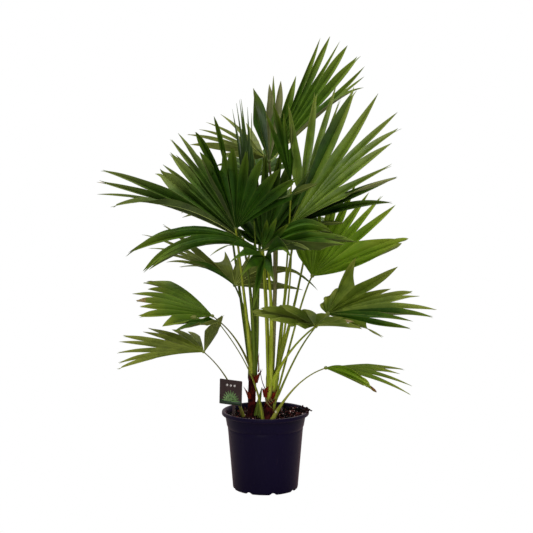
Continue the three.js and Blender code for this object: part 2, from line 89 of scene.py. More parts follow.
# Each leaf: stalk from base over mid to hub, stalk radii, n fingers joined up to `join` of their length, which side faces
# the front (1 upper, -1 under), and control ribs (angle in the front view, turn to the front, length, droop).
# LEAVES-BEGIN
LEAVES = {
    "lower_left": dict(base=(-52, -16, 180), mid=(-92, -20, 271), hub=(-146, -30, 338), reach=(4.4, 2.3), n=10, join=0.55, gaps=(9,), outer=(1, 0.8), wide={9: 1.6}, face=1,
        ribs=[(178, 17, 211, 0.17), (176, 14, 207, 0.15), (175, 10, 208, 0.06), (172, 3, 203, 0), (169, -3, 199, 0), (161, -13, 160, 0.04), (156, -22, 161, 0.08), (144, -43, 138, 0.14), (130, -60, 133, 0.15), (61, -33, 109, 0)]),
    "mid_left": dict(base=(-37.2, -10.3, 302), mid=(-75, -8, 371), hub=(-125, -10, 421), reach=(3, 2.4), n=8, join=0.7, outer=(1, 2.2), wide={3: 1.5}, face=1,
        ribs=[(174, 27, 133, 0.2), (170, 16, 184, 0.12), (164, 11, 182, 0.12), (159, 6, 196, 0.15), (153, 0, 215, 0.2), (145, -7, 193, 0.25), (142, -14, 222, 0.27), (139, -20, 230, 0.3)]),
    "small_left": dict(base=(-6, -48, 180), mid=(-37, -44, 295), hub=(-112, -45, 413), reach=(4, 2.2), n=4, join=0.6, face=1,
        ribs=[(176, 34, 53, 0.1), (-179, 14, 106, 0.15), (176, 5, 118, 0.1), (167, 0, 68, 0.05)]),
    "under_left": dict(base=(-32.3, -0.8, 302), mid=(-43, 22, 397), hub=(-73, 40, 487), reach=(3, 2.6), n=14, join=0.48, face=-1,
        ribs=[(131, 12, 188, 0.42), (138, 11, 180, 0.38), (140, 8, 216, 0.35), (140, 4, 243, 0.32), (140, 0, 271, 0.3), (139, -6, 301, 0.25), (135, -11, 253, 0.12), (108, -31, 96, 0), (85, -33, 83, 0), (64, -24, 100, 0), (50, -18, 114, 0), (41, -4, 265, 0.7), (30, -11, 156, 0.3), (7, 0, 165, 0.18)]),
    "front": dict(base=(7.6, -36.1, 272), mid=(1, -47, 456), hub=(-8, -72, 585), reach=(3.1, 2.9), n=15, join=0.52, gaps=(6, 9,), cuts={1: 0.66, 2: 0.66, 4: 0.64, 5: 0.66, 6: 0.14, 9: 0.14, 10: 0.8, 12: 0.78, 13: 0.7, 14: 0.35}, wide={0: 1.1, 1: 1.2, 2: 1.2, 3: 1.1, 4: 1.2, 5: 1.2}, face=1,
        ribs=[(158, 17, 291, 0.47), (153, 13, 313, 0.57), (152, 10, 315, 0.59), (154, 7, 337, 0.42), (151, 5, 355, 0.48), (147, 3, 377, 0.57), (82, 35, 100, 0), (68, 29, 104, 0), (52, 29, 113, 0.08), (50, -2, 264, 0.63), (41, 1, 229, 0.5), (24, 6, 230, 0.28), (18, 10, 234, 0.19), (14, 17, 206, 0.12), (38, 34, 170, 0.44)]),
    "front_low": dict(base=(13, -40.5, 272), mid=(13, -64, 468), hub=(-1, -96, 572), reach=(3.1, 2.9), n=6, join=0.45, wide={0: 0.6, 4: 0.6, 5: 0.6}, face=1,
        ribs=[(63, 44, 186, 0.55), (23, 81, 152, 0.3), (-116, 63, 135, 0.35), (143, 68, 178, 0.35), (140, 58, 195, 0.3), (135, 39, 224, 0.45)]),
    "heart": dict(base=(5.8, -29.4, 272), mid=(6, -20, 389), hub=(-6, 0, 588), reach=(3.3, 2.8), n=12, join=0.5, wide={4: 1.3, 5: 1.6, 6: 1.8, 7: 1.7}, face=1,
        ribs=[(147, -7, 83, 0), (133, -6, 130, 0), (106, -6, 193, 0), (96, -3, 213, 0), (88, 0, 224, 0), (79, 0, 232, 0), (72, 0, 233, 0.02), (57, 1, 250, 0.05), (48, 1, 291, 0.08), (34, 2, 383, 0.12), (35, 3, 373, 0.3), (31, 6, 228, 0.25)]),
    "front_left": dict(base=(-33.5, -14.8, 302), mid=(-48, -38, 457), hub=(-69, -65, 636), reach=(3, 3), n=10, join=0.6, wide={0: 1.2, 1: 1.1, 3: 0.8}, face=1,
        ribs=[(112, 22, 230, 0.05), (106, 15, 348, 0.26), (98, 23, 218, 0.03), (98, 16, 336, 0.15), (92, 22, 219, 0.03), (82, 22, 213, 0.04), (72, 22, 209, 0.06), (58, 24, 212, 0.08), (47, 24, 225, 0.1), (38, 22, 257, 0.12)]),
    "wide_left": dict(base=(-27.7, -15.2, 302), mid=(-34, -22, 462), hub=(-53, -35, 607), reach=(3, 2.8), n=11, join=0.62, wide={0: 0.7, 1: 0.65, 2: 0.65, 3: 0.62, 4: 1.7, 5: 0.8, 6: 1.6, 7: 0.9, 8: 0.9}, face=1,
        ribs=[(143, 0, 389, 0.4), (151, -3, 395, 0.21), (151, -5, 396, 0.14), (147, -6, 402, 0.13), (139, -10, 272, 0.05), (135, -11, 274, 0.05), (129, -12, 284, 0.05), (127, -14, 273, 0.05), (123, -13, 327, 0.1), (119, -14, 332, 0.1), (118, -18, 253, 0.05)]),
    "high_left": dict(base=(-22.8, -5.7, 302), mid=(-16, 90, 524), hub=(-3, 130, 792), reach=(3, 3), n=7, join=0.35, wide={0: 1.5, 1: 2.2, 2: 1.3, 6: 1.2}, face=-1,
        ribs=[(169, 0, 100, 0.1), (159, -9, 198, 0.22), (155, -16, 218, 0.16), (149, -25, 209, 0.16), (142, -31, 212, 0.14), (130, -38, 213, 0.14), (119, -58, 178, 0.03)]),
    "edge_left": dict(base=(-23.2, -11.5, 302), mid=(-18, -14, 461), hub=(-29, -8, 670), reach=(3, 2.8), n=6, join=0.5, face=1,
        ribs=[(102, -24, 275, 0.02), (99, -17, 270, 0), (97, -11, 274, 0), (96, -4, 270, 0), (93, 2, 249, 0), (91, 8, 245, 0.02)]),
    "top": dict(base=(14.1, -19.2, 272), mid=(23, 25, 547), hub=(9, 45, 785), reach=(3.3, 3), n=13, join=0.56, outer=(2.2, 1), wide={0: 2.1, 1: 2, 2: 1.4, 3: 1.5, 5: 0.75, 7: 0.5, 8: 1.2, 9: 1.3}, face=1,
        ribs=[(102, 0, 180, 0), (90, -9, 189, 0), (87, -12, 209, 0), (82, -17, 204, 0), (72, -23, 232, 0), (66, -22, 342, -0.01), (63, -24, 361, -0.02), (58, -24, 362, -0.02), (55, -23, 367, 0), (50, -21, 365, 0.02), (44, -18, 350, 0.03), (44, -15, 339, 0.07), (47, -12, 340, 0.17)]),
    "top_front": dict(base=(28.2, -30.6, 272), mid=(49, -32, 554), hub=(60, -35, 739), reach=(3.3, 3.3), n=4, join=0.5, outer=(1, 1.6), wide={0: 0.7, 1: 1.5, 2: 0.8, 3: 1}, face=1,
        ribs=[(108, 16, 205, 0.08), (101, 14, 224, 0.1), (96, 16, 182, 0.02), (90, 19, 155, 0)]),
    "right_upright": dict(base=(26.4, -23.9, 272), mid=(52, 12, 505), hub=(85, 10, 692), reach=(3.3, 2.8), n=4, join=0.35, outer=(1.6, 1), wide={0: 0.9, 1: 1.2, 2: 1.5, 3: 0.7}, face=1,
        ribs=[(97, 5, 240, 0), (83, 0, 263, 0), (74, -3, 300, 0.03), (69, -5, 267, 0)]),
    "right_long": dict(base=(25.7, -37, 272), mid=(56, -34, 488), hub=(58, -36, 640), reach=(3.3, 2.8), n=7, join=0.5, wide={0: 1.4, 1: 1.15, 5: 0.7}, face=1,
        ribs=[(65, 0, 360, 0), (53, 3, 337, -0.13), (51, 6, 398, 0.1), (50, 9, 399, 0.17), (45, 12, 338, 0.1), (37, 15, 303, 0.09), (34, 17, 308, 0.14)]),
    "right_fan": dict(base=(29, -34, 236), mid=(79, -18, 430), hub=(111, -8, 517), reach=(3, 3.1), n=13, join=0.58, fused=10, cuts={11: 0.92, 12: 0.92}, wide={10: 0.8, 11: 1, 12: 0.9}, face=1,
        ribs=[(116, 0, 105, 0.03), (103, -1, 123, 0), (90, -4, 153, 0), (83, -8, 173, 0), (76, -11, 195, 0), (72, -13, 224, 0), (64, -14, 250, 0), (55, -14, 247, 0), (48, -10, 257, 0), (40, -5, 262, 0), (33, 4, 238, 0.17), (25, 6, 251, 0.05), (13, 9, 218, -0.16)]),
    "right_low": dict(base=(36, -26, 236), mid=(82, -32, 346), hub=(146, -45, 432), reach=(3, 3.1), n=13, join=0.55, cuts={1: 0.9, 2: 0.9, 7: 0.7, 8: 0.62, 9: 0.64, 10: 0.5, 11: 0.5}, wide={10: 0.8, 11: 1.1, 12: 0.5}, face=1,
        ribs=[(117, -38, 33, 0), (90, -29, 45, 0), (66, -19, 68, 0), (63, -6, 151, 0), (34, -7, 207, 0.04), (24, -7, 167, 0.05), (19, -3, 215, 0.08), (17, 2, 228, 0.1), (12, 9, 264, 0.14), (8, 14, 254, 0.12), (6, 22, 213, 0.12), (-8, 24, 211, -0.03), (-11, 33, 154, 0.1)]),
    "right_small": dict(base=(19.9, -40.8, 272), mid=(58, -50, 344), hub=(117, -70, 407), reach=(3.2, 3.7), n=11, join=0.66, cuts={6: 0.84, 7: 0.8, 8: 0.8, 9: 0.76}, wide={8: 0.6, 9: 0.7}, face=-1,
        ribs=[(10, 22, 118, 0.15), (24, 37, 113, 0.1), (44, 54, 112, 0.08), (102, 60, 127, 0.06), (136, 42, 150, 0.08), (153, 24, 171, 0.12), (156, 25, 190, 0.14), (155, 36, 170, 0.14), (151, 60, 139, 0.1)]),
    "lower_right": dict(base=(17, -56, 180), mid=(74, -62, 263), hub=(141, -70, 307), reach=(4, 2.6), n=7, join=0.5, fused=4, gaps=(4,), outer=(1, 0.6), cuts={1: 0.66}, wide={4: 1.1, 5: 1.25, 6: 1.1}, face=1,
        ribs=[(3, -12, 194, 0.11), (4, 0, 177, 0.15), (0, 8, 205, 0.18), (-3, 17, 207, 0.2), (16, 34, 128, 0.45), (-10, 36, 146, 0.14), (-13, 42, 134, 0.04)]),
    "back_right": dict(base=(8.3, -23, 272), mid=(24, 60, 440), hub=(28, 110, 610), reach=(3, 2.6), n=11, join=0.52, face=1,
        ribs=[(20, -55, 240, 0.15), (50, -62, 310, 0.15), (90, -66, 330, 0.12), (135, -60, 310, 0.15), (160, -50, 260, 0.15)]),
    "back_left": dict(base=(-36.8, -4.5, 302), mid=(-58, 50, 450), hub=(-88, 90, 650), reach=(3, 2.6), n=10, join=0.52, face=1,
        ribs=[(170, -45, 170, 0.2), (150, -60, 270, 0.2), (110, -70, 310, 0.2), (60, -65, 290, 0.2), (20, -50, 200, 0.2)]),
    "back_far_right": dict(base=(21, -19.5, 272), mid=(66, 42, 428), hub=(104, 76, 606), reach=(3, 2.6), n=9, join=0.52, face=1,
        ribs=[(20, -68, 220, 0.2), (50, -72, 280, 0.2), (90, -74, 300, 0.2), (124, -72, 270, 0.2), (150, -70, 180, 0.2)]),
    "back_top": dict(base=(-26.5, -1.2, 302), mid=(-26, 95, 510), hub=(-22, 160, 740), reach=(3, 2.6), n=11, join=0.52, face=1,
        ribs=[(175, -60, 220, 0.12), (150, -66, 300, 0.12), (110, -70, 330, 0.1), (60, -68, 300, 0.1), (20, -58, 220, 0.1)]),
}
# LEAVES-END

# How each leaf looks: upper and under tone, stalk tone, fold of the pleats, wildness of the fingers
LOOK = {   # upper tone, under tone, stalk tone, depth of the pleats, wildness, width of the fingers, how long they keep it
    "lower_left": ("straw", "under_olive", "stalk_pale", 0.40, 0.6, 1.15, 1.80),
    "mid_left": ("fresh", "under_olive", "stalk_pale", 0.42, 0.5, 1.20, 1.90),
    "small_left": ("dark", "under_olive", "stalk_yellow", 0.36, 0.5, 0.95, 1.60),
    "under_left": ("dark", "under_olive", "stalk_dark", 0.36, 0.5, 0.95, 1.40),
    "front": ("dark", "under_dark", "stalk_yellow", 0.36, 0.3, 1.05, 1.70),
    "front_low": ("dark", "under_dark", "stalk_yellow", 0.34, 0.5, 0.85, 1.50),
    "heart": ("deep", "under_dark", "stalk_yellow", 0.60, 0.6, 0.9, 1.4),
    # front_left takes the shade tone, painted shade
    "front_left": ("shade", "under_dark", "stalk_yellow", 0.44, 0.4, 1.25, 2.00),
    "wide_left": ("plain", "under_dark", "stalk_dark", 0.44, 0.5, 1.10, 1.60),
    "high_left": ("olive", "under_olive", "stalk_dark", 0.40, 0.6, 1.20, 1.50),
    "edge_left": ("deep", "deep", "stalk_dark", 0.70, 0.6, 0.60, 1.10),
    "top": ("mid", "under_grey", "stalk_mauve", 0.44, 0.8, 1.18, 2.00),
    "top_front": ("dark", "under_dark", "stalk_olive", 0.40, 0.4, 1.20, 1.90),
    # the two leaves in the light tone carry a painted reflection in their pale colour, besides their own green
    "right_upright": ("light", "under_olive", "stalk_olive", 0.40, 0.4, 1.15, 2.00),
    "right_long": ("light", "under_grey", "stalk_olive", 0.46, 0.5, 1.15, 1.60),
    # right_fan's bright tone is painted light, the glow of light coming through the blade from behind
    "right_fan": ("bright", "under_fresh", "stalk_olive", 0.44, 0.4, 0.95, 1.70),
    "right_low": ("olive", "under_olive", "stalk_olive", 0.38, 0.6, 1.05, 1.70),
    "right_small": ("leafy", "under_fresh", "stalk_yellow", 0.30, 0.5, 1.05, 1.70),
    "lower_right": ("spring", "under_fresh", "stalk_pale", 0.34, 0.5, 1.00, 1.50),
    "back_right": ("dark", "under_olive", "stalk_olive", 0.40, 0.9, 1.0, 1.5),
    "back_left": ("dark", "under_olive", "stalk_dark", 0.40, 0.9, 1.0, 1.5),
    "back_far_right": ("mid", "under_olive", "stalk_olive", 0.40, 0.9, 1.0, 1.5),
    "back_top": ("mid", "under_olive", "stalk_dark", 0.40, 0.9, 1.0, 1.5),
}

PAINTED_SHADE_HALVES = {"right_long": (0,), "top_front": (1,)}                    # fingers whose left half turns away from the light and gets painted shade in the darker deep tone
FINGER_TONES_AND_PAINTED_HIGHLIGHT = {"lower_left": {9: 2}, "right_low": {9: 7, 10: 7, 11: 7}, "lower_right": {4: 7, 5: 7, 6: 7}, "top": {0: 5, 1: 2, 3: 2}}   # whole fingers: 2 as the under side, 7 dark; on lower_right slot 7 is the bright tone, a painted highlight on its front lobe
DRY = {"mid_left": {3: 0.58}, "right_small": {1: 0.45}, "lower_right": {5: 0.1}, "right_fan": {3: 0.9}, "wide_left": {2: 0.93}}   # fingers with a dry end

# ------------------------------------------------------------------ small helpers


def unit(v):
    v = np.asarray(v, float)
    n = np.linalg.norm(v, axis=-1, keepdims=True)
    return v / np.maximum(n, 1e-12)


def hashed(ix, iy, iz, seed):
    with np.errstate(over="ignore"):
        n = ix * np.int64(374761393) + iy * np.int64(668265263) + iz * np.int64(1440662683) + np.int64(seed) * np.int64(1274126177)
        n = (n ^ (n >> np.int64(13))) * np.int64(1274126177)
        n = n ^ (n >> np.int64(16))
    return (n & np.int64(0xFFFF)).astype(float) / 65535.0


def noise(p, seed=0):
    """Smooth value noise, 0..1, of points (N, 3)."""
    p = np.asarray(p, float)
    i = np.floor(p).astype(np.int64)
    f = p - i
    f = f * f * (3 - 2 * f)
    out = 0.0
    for a in (0, 1):
        for b in (0, 1):
            for c in (0, 1):
                w = (f[..., 0] if a else 1 - f[..., 0]) * (f[..., 1] if b else 1 - f[..., 1]) * (f[..., 2] if c else 1 - f[..., 2])
                out = out + w * hashed(i[..., 0] + a, i[..., 1] + b, i[..., 2] + c, seed)
    return out


def fractal(p, seed=0, octaves=3):
    p = np.asarray(p, float)
    total, amp, norm = 0.0, 1.0, 0.0
    for k in range(octaves):
        total = total + amp * noise(p * 2 ** k, seed + k)
        norm += amp
        amp *= 0.5
    return total / norm


class Build:
    """Vertices in millimetres with a pattern coordinate each, and faces with a material index."""

    def __init__(self):
        self.v, self.uv, self.f, self.m = [], [], [], []

    def vert(self, p, uv=(0.0, 0.0)):
        self.v.append((float(p[0]), float(p[1]), float(p[2])))
        self.uv.append((float(uv[0]), float(uv[1])))
        return len(self.v) - 1

    def face(self, idx, mat=0):
        self.f.append(tuple(idx))
        self.m.append(mat)

    def solidify(self, thick, keel=None, under=None):
        """Makes the open sheet a closed one: top +thick, bottom -thick along the vertex normals. keel adds depth under a vertex."""
        V = np.array(self.v)
        N = np.zeros_like(V)
        for f in self.f:
            p = V[list(f)]
            if len(f) == 4:
                n = np.cross(p[2] - p[0], p[3] - p[1])
            else:
                n = np.cross(p[1] - p[0], p[2] - p[0])
            for k in f:
                N[k] += n
        N = unit(N)
        n0 = len(V)
        top = V + N * thick
        low = V - N * (thick + (np.array(keel)[:, None] if keel is not None else 0.0))
        count = {}
        for f in self.f:
            for a, b in zip(f, f[1:] + f[:1]):
                key = (a, b) if a < b else (b, a)
                count.setdefault(key, []).append((a, b))
        faces, mats = list(self.f), list(self.m)
        for f, m in zip(self.f, self.m):
            faces.append(tuple(k + n0 for k in reversed(f)))
            mats.append(under[m] if under else m)
        for pairs in count.values():
            if len(pairs) == 1:
                a, b = pairs[0]
                faces.append((b, a, a + n0, b + n0))
                mats.append(self.wall if hasattr(self, "wall") else 0)
        self.v = [tuple(p) for p in np.vstack([top, low])]
        self.uv = self.uv + self.uv
        self.f, self.m = faces, mats

    def object(self, name, materials, smooth=True, angle=30.0):
        me = bpy.data.meshes.new(name)
        V = np.array(self.v, np.float32) * np.float32(MM)
        sizes = np.array([len(f) for f in self.f], np.int32)
        loops = np.fromiter((k for f in self.f for k in f), np.int32, count=int(sizes.sum()))
        me.vertices.add(len(V))
        me.vertices.foreach_set("co", V.ravel())
        me.loops.add(len(loops))
        me.loops.foreach_set("vertex_index", loops)
        me.polygons.add(len(sizes))
        starts = np.concatenate([[0], np.cumsum(sizes)[:-1]]).astype(np.int32)
        me.polygons.foreach_set("loop_start", starts)
        me.polygons.foreach_set("loop_total", sizes)
        me.polygons.foreach_set("material_index", np.array(self.m, np.int32))
        uv = me.uv_layers.new(name="fan")
        uv.data.foreach_set("uv", np.array(self.uv, np.float32)[loops].ravel())
        me.update(calc_edges=True)
        me.validate()
        if smooth:
            me.polygons.foreach_set("use_smooth", np.ones(len(me.polygons), bool))
            me.set_sharp_from_angle(angle=math.radians(angle))
        for mat in materials:
            me.materials.append(mat)
        ob = bpy.data.objects.new(name, me)
        bpy.context.scene.collection.objects.link(ob)
        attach(ob, "root")
        return ob


# ------------------------------------------------------------------ materials


def linear(rgb):
    out = []
    for c in rgb:
        c = c / 255.0
        out.append(c / 12.92 if c <= 0.04045 else ((c + 0.055) / 1.055) ** 2.4)
    return (*out, 1.0)


class Nodes:
    """A few short words for building a node tree."""

    def __init__(self, name):
        self.mat = bpy.data.materials.new(name)
        self.mat.use_nodes = True
        self.t = self.mat.node_tree
        self.t.nodes.clear()
        self.out = self.t.nodes.new("ShaderNodeOutputMaterial")
        self.bsdf = self.t.nodes.new("ShaderNodeBsdfPrincipled")
        self.t.links.new(self.bsdf.outputs[0], self.out.inputs["Surface"])

    def put(self, socket, value):
        if hasattr(value, "is_output"):
            self.t.links.new(value, socket)
        else:
            socket.default_value = value

    def math(self, op, a, b=None, c=None, clamp=False):
        n = self.t.nodes.new("ShaderNodeMath")
        n.operation, n.use_clamp = op, clamp
        for s, v in zip(n.inputs, (a, b, c)):
            if v is not None:
                self.put(s, v)
        return n.outputs[0]

    def mix(self, f, a, b):
        n = self.t.nodes.new("ShaderNodeMix")
        n.data_type = "RGBA"
        n.clamp_factor = True
        self.put(n.inputs[0], f)
        self.put(n.inputs[6], a)
        self.put(n.inputs[7], b)
        return n.outputs[2]

    def ramp(self, x, low, high):
        n = self.t.nodes.new("ShaderNodeMapRange")
        n.interpolation_type = "SMOOTHSTEP"
        self.put(n.inputs[0], x)
        n.inputs[1].default_value, n.inputs[2].default_value = low, high
        n.inputs[3].default_value, n.inputs[4].default_value = 0.0, 1.0
        return n.outputs[0]

    def where(self, scale=(1, 1, 1)):
        tc = self.t.nodes.new("ShaderNodeTexCoord")
        m = self.t.nodes.new("ShaderNodeMapping")
        self.t.links.new(tc.outputs["Object"], m.inputs[0])
        m.inputs["Scale"].default_value = scale
        return m.outputs[0]

    def noise(self, vec, scale, detail=3.0, rough=0.55):
        n = self.t.nodes.new("ShaderNodeTexNoise")
        self.put(n.inputs["Vector"], vec)
        n.inputs["Scale"].default_value = scale
        n.inputs["Detail"].default_value = detail
        n.inputs["Roughness"].default_value = rough
        return n.outputs[0]

    def uv(self):
        n = self.t.nodes.new("ShaderNodeUVMap")
        n.uv_map = "fan"
        s = self.t.nodes.new("ShaderNodeSeparateXYZ")
        self.t.links.new(n.outputs[0], s.inputs[0])
        return s.outputs[0], s.outputs[1]

    def bump(self, height, distance, strength=1.0):
        n = self.t.nodes.new("ShaderNodeBump")
        n.inputs["Distance"].default_value = distance
        n.inputs["Strength"].default_value = strength
        self.put(n.inputs["Height"], height)
        self.t.links.new(n.outputs[0], self.bsdf.inputs["Normal"])

    def set(self, **kw):
        for k, v in kw.items():
            self.put(self.bsdf.inputs[k.replace("_", " ")], v)
        return self.mat


def leaf_material(name, base, tip, dark, rough=0.42, vein=0.5, spec=0.45, coat=0.0):
    n = Nodes(name)
    u, v = n.uv()
    across = n.math("ABSOLUTE", n.math("SUBTRACT", n.math("FRACT", u), 0.5))            # 0 at the rib, 0.5 at the fold
    fine = n.math("SINE", n.math("MULTIPLY", u, 2 * math.pi * 9))
    fine = n.math("MULTIPLY_ADD", fine, 0.5, 0.5)
    cloud = n.noise(n.where(), 26.0, 3.0)
    speck = n.noise(n.where(), 160.0, 2.0)
    col = n.mix(n.ramp(cloud, 0.36, 0.66), linear(dark), linear(base))
    col = n.mix(n.math("MULTIPLY", fine, 0.16 * vein), col, linear(tip))
    col = n.mix(n.math("MULTIPLY", n.ramp(across, 0.40, 0.5), 0.22), col, linear(tip))
    col = n.mix(n.math("MULTIPLY", n.ramp(v, 0.55, 1.0), 0.75), col, linear(tip))
    rough_out = n.math("MULTIPLY_ADD", speck, 0.16, rough - 0.08)
    n.bump(n.math("ADD", n.math("MULTIPLY", fine, vein), n.math("MULTIPLY", speck, 0.4)), 0.0004, 0.5)
    n.set(Base_Color=col, Roughness=rough_out, Specular_IOR_Level=spec)
    n.bsdf.inputs["Coat Weight"].default_value = coat
    n.bsdf.inputs["Coat Roughness"].default_value = 0.3
    return n.mat


def rib_material(name, base, tip):
    n = Nodes(name)
    _, v = n.uv()
    cloud = n.noise(n.where(), 40.0, 2.0)
    col = n.mix(cloud, linear(base), linear(tip))
    col = n.mix(n.math("MULTIPLY", n.ramp(v, 0.6, 1.0), 0.5), col, linear(tip))
    near = n.math("SUBTRACT", 1.0, n.ramp(v, 0.05, 0.50))
    col = n.mix(n.math("MULTIPLY", near, 0.6), col, linear([min(255, c * 1.35 + 8) for c in tip]))
    n.bump(n.noise(n.where((1, 1, 1)), 300.0, 2.0), 0.0002, 0.3)
    return n.set(Base_Color=col, Roughness=0.45, Specular_IOR_Level=0.4)


def stalk_material(name, base, edge, foot):
    n = Nodes(name)
    u, v = n.uv()
    streak = n.noise(n.where((1, 1, 0.06)), 420.0, 2.0)
    cloud = n.noise(n.where((1, 1, 0.4)), 34.0, 3.0)
    col = n.mix(n.ramp(streak, 0.35, 0.7), linear(base), linear(edge))
    col = n.mix(n.math("MULTIPLY", n.ramp(cloud, 0.55, 0.8), 0.3), col, linear(foot))
    col = n.mix(n.math("MULTIPLY", n.ramp(v, 0.35, 0.95), 0.45), col, linear([c * 0.72 for c in base]))
    low = n.math("SUBTRACT", 1.0, n.ramp(n.math("ADD", v, n.math("MULTIPLY", n.math("SUBTRACT", cloud, 0.5), 0.16)), -0.20, -0.10))
    side = n.math("ABSOLUTE", n.math("SUBTRACT", n.math("FRACT", u), 0.5))             # 0 along one side of the stalk, where the strip of painted shade goes
    # painted shade: a dark brown strip down one side of each stalk, standing in for its shadowed side
    col = n.mix(n.math("MULTIPLY", n.math("SUBTRACT", 1.0, n.ramp(side, 0.07, 0.19)), 0.65), col, linear([c * 0.42 for c in foot]))
    col = n.mix(low, col, linear((74, 26, 14)))
    n.bump(streak, 0.0004, 0.5)
    return n.set(Base_Color=col, Roughness=n.math("MULTIPLY_ADD", cloud, 0.18, 0.40), Specular_IOR_Level=0.20)


def fibre_material(name, dark, mid, bright, stretch=(1, 1, 0.07), scale=520.0):
    n = Nodes(name)
    thread = n.noise(n.where(stretch), scale, 3.0, 0.6)
    patch = n.noise(n.where(), 55.0, 3.0)
    col = n.mix(n.ramp(thread, 0.34, 0.62), linear(dark), linear(mid))
    col = n.mix(n.math("MULTIPLY", n.ramp(patch, 0.48, 0.72), 0.8), col, linear(bright))
    n.bump(n.math("ADD", thread, n.math("MULTIPLY", patch, 0.4)), 0.0009, 0.8)
    return n.set(Base_Color=col, Roughness=0.78, Specular_IOR_Level=0.12)


def chip_material(name, dark, light, rough=0.85):
    n = Nodes(name)
    a = n.noise(n.where(), 150.0, 3.0)
    b = n.noise(n.where(), 620.0, 2.0)
    col = n.mix(n.ramp(a, 0.35, 0.65), linear(dark), linear(light))
    n.bump(b, 0.0007, 0.8)
    return n.set(Base_Color=col, Roughness=rough, Specular_IOR_Level=0.10)


UPPER = {   # base, tip, dark variant, roughness, specular
    "deep": ((44, 78, 14), (102, 124, 40), (28, 55, 9), 0.34, 0.40),
    # shade: a darker copy of dark, painted shade for the front-left leaf, which faces away from the top light
    "shade": ((41, 79, 11), (98, 122, 32), (27, 58, 8), 0.50, 0.14),
    "dark": ((54, 94, 13), (114, 134, 36), (35, 69, 8), 0.50, 0.14),
    "mid": ((74, 108, 22), (132, 148, 54), (53, 86, 16), 0.50, 0.16),
    "plain": ((54, 88, 15), (140, 152, 76), (38, 68, 12), 0.50, 0.16),
    "fresh": ((92, 124, 23), (148, 158, 50), (76, 108, 18), 0.50, 0.18),
    "leafy": ((75, 103, 20), (126, 138, 46), (60, 88, 15), 0.50, 0.18),
    "spring": ((98, 124, 20), (158, 164, 48), (90, 115, 16), 0.50, 0.18),
    # bright: yellow-green that paints in the light shining through a backlit blade; lower_right's front lobe uses it as
    # a painted highlight
    "bright": ((118, 154, 27), (158, 172, 58), (104, 140, 22), 0.50, 0.20),
    # light: a pale green, partly the leaves' own tone and partly a painted reflection of light off the upper side, with
    # a strong specular on top
    "light": ((116, 144, 44), (150, 162, 68), (88, 118, 32), 0.30, 0.72),
    "olive": ((112, 132, 38), (148, 156, 64), (80, 102, 22), 0.50, 0.18),
    "straw": ((126, 140, 44), (156, 160, 72), (96, 112, 28), 0.50, 0.18),
}
UNDER = {
    "under_olive": ((112, 124, 48), (140, 146, 66), (86, 98, 34), 0.55, 0.25),
    "under_dark": ((66, 84, 26), (100, 112, 44), (46, 62, 16), 0.55, 0.20),
    "under_grey": ((116, 120, 76), (142, 144, 88), (90, 94, 58), 0.55, 0.25),
    "under_fresh": ((118, 136, 44), (142, 154, 60), (92, 114, 30), 0.52, 0.25),
}
STALK = {
    "stalk_yellow": ((156, 176, 26), (200, 206, 78), (112, 88, 30)),
    "stalk_pale": ((156, 164, 48), (184, 182, 84), (124, 96, 44)),
    "stalk_olive": ((130, 150, 26), (172, 178, 68), (92, 72, 28)),
    "stalk_dark": ((86, 112, 20), (120, 136, 44), (68, 54, 20)),
    "stalk_mauve": ((118, 114, 68), (146, 140, 94), (100, 76, 58)),
}
MAT = {}
for k, (b, t, d, r, s) in UPPER.items():
    MAT[k] = leaf_material("leaf_" + k, b, t, d, r, 0.6, s, 0.0)
    b2, d2 = [min(255, c + 9) for c in b], [min(255, c + 9) for c in d]
    MAT[k + "_2"] = leaf_material("leaf_" + k + "_2", b2, t, d2, r + 0.05, 0.6, s, 0.0)
for k, (b, t, d, r, s) in UNDER.items():
    MAT[k] = leaf_material("leaf_" + k, b, t, d, r, 0.9, s)
MAT["rib"] = rib_material("leaf_rib", (118, 134, 56), (140, 148, 72))
MAT["rib_dark"] = rib_material("leaf_rib_dark", (70, 96, 34), (110, 124, 54))
for k, (b, e, f) in STALK.items():
    MAT[k] = stalk_material(k, b, e, f)
MAT["sheath"] = fibre_material("sheath_fibre", (16, 1, 6), (58, 7, 14), (94, 23, 22))
MAT["sheath_brown"] = fibre_material("sheath_brown", (22, 2, 8), (74, 11, 19), (108, 36, 32))
MAT["sheath_red"] = fibre_material("sheath_red", (78, 16, 8), (128, 36, 14), (156, 70, 34))
MAT["sheath_pale"] = fibre_material("sheath_pale", (120, 104, 62), (150, 138, 86), (170, 156, 104))
MAT["sheath_cream"] = fibre_material("sheath_cream", (190, 188, 126), (220, 220, 162), (234, 234, 190))
MAT["bark_chip"] = chip_material("bark_chip", (24, 7, 9), (100, 46, 42))
MAT["dark_chip"] = chip_material("dark_chip", (2, 0, 2), (11, 4, 8))
MAT["perlite"] = chip_material("perlite", (176, 140, 142), (240, 216, 214), 0.9)
MAT["soil"] = chip_material("soil_ground", (1, 0, 1), (8, 3, 5), 0.95)
MAT["dry_tip"] = chip_material("dry_tip", (152, 132, 84), (188, 170, 122), 0.8)
MAT["dry_brown"] = chip_material("dry_brown", (94, 48, 26), (140, 88, 50), 0.8)


# ------------------------------------------------------------------ leaf blades


def rib_direction(a, d):
    a, d = math.radians(a), math.radians(d)
    return np.array([math.cos(a) * math.cos(d), -math.sin(d), math.sin(a) * math.cos(d)])


def spread_ribs(leaf):
    K, n, out = leaf["ribs"], leaf["n"], []
    for i in range(n):
        w = (len(K) - 1) * i / (n - 1)
        k = min(int(w + 1e-9), len(K) - 2)
        u = w - k
        p, q = rib_direction(*K[k][:2]), rib_direction(*K[k + 1][:2])
        om = math.acos(max(-1.0, min(1.0, float(p @ q))))
        d = p if om < 1e-6 else (p * math.sin((1 - u) * om) + q * math.sin(u * om)) / math.sin(om)
        out.append((d, K[k][2] * (1 - u) + K[k + 1][2] * u, K[k][3] * (1 - u) + K[k + 1][3] * u))
    return out


S_ROWS, Q_ROWS = 9, 15


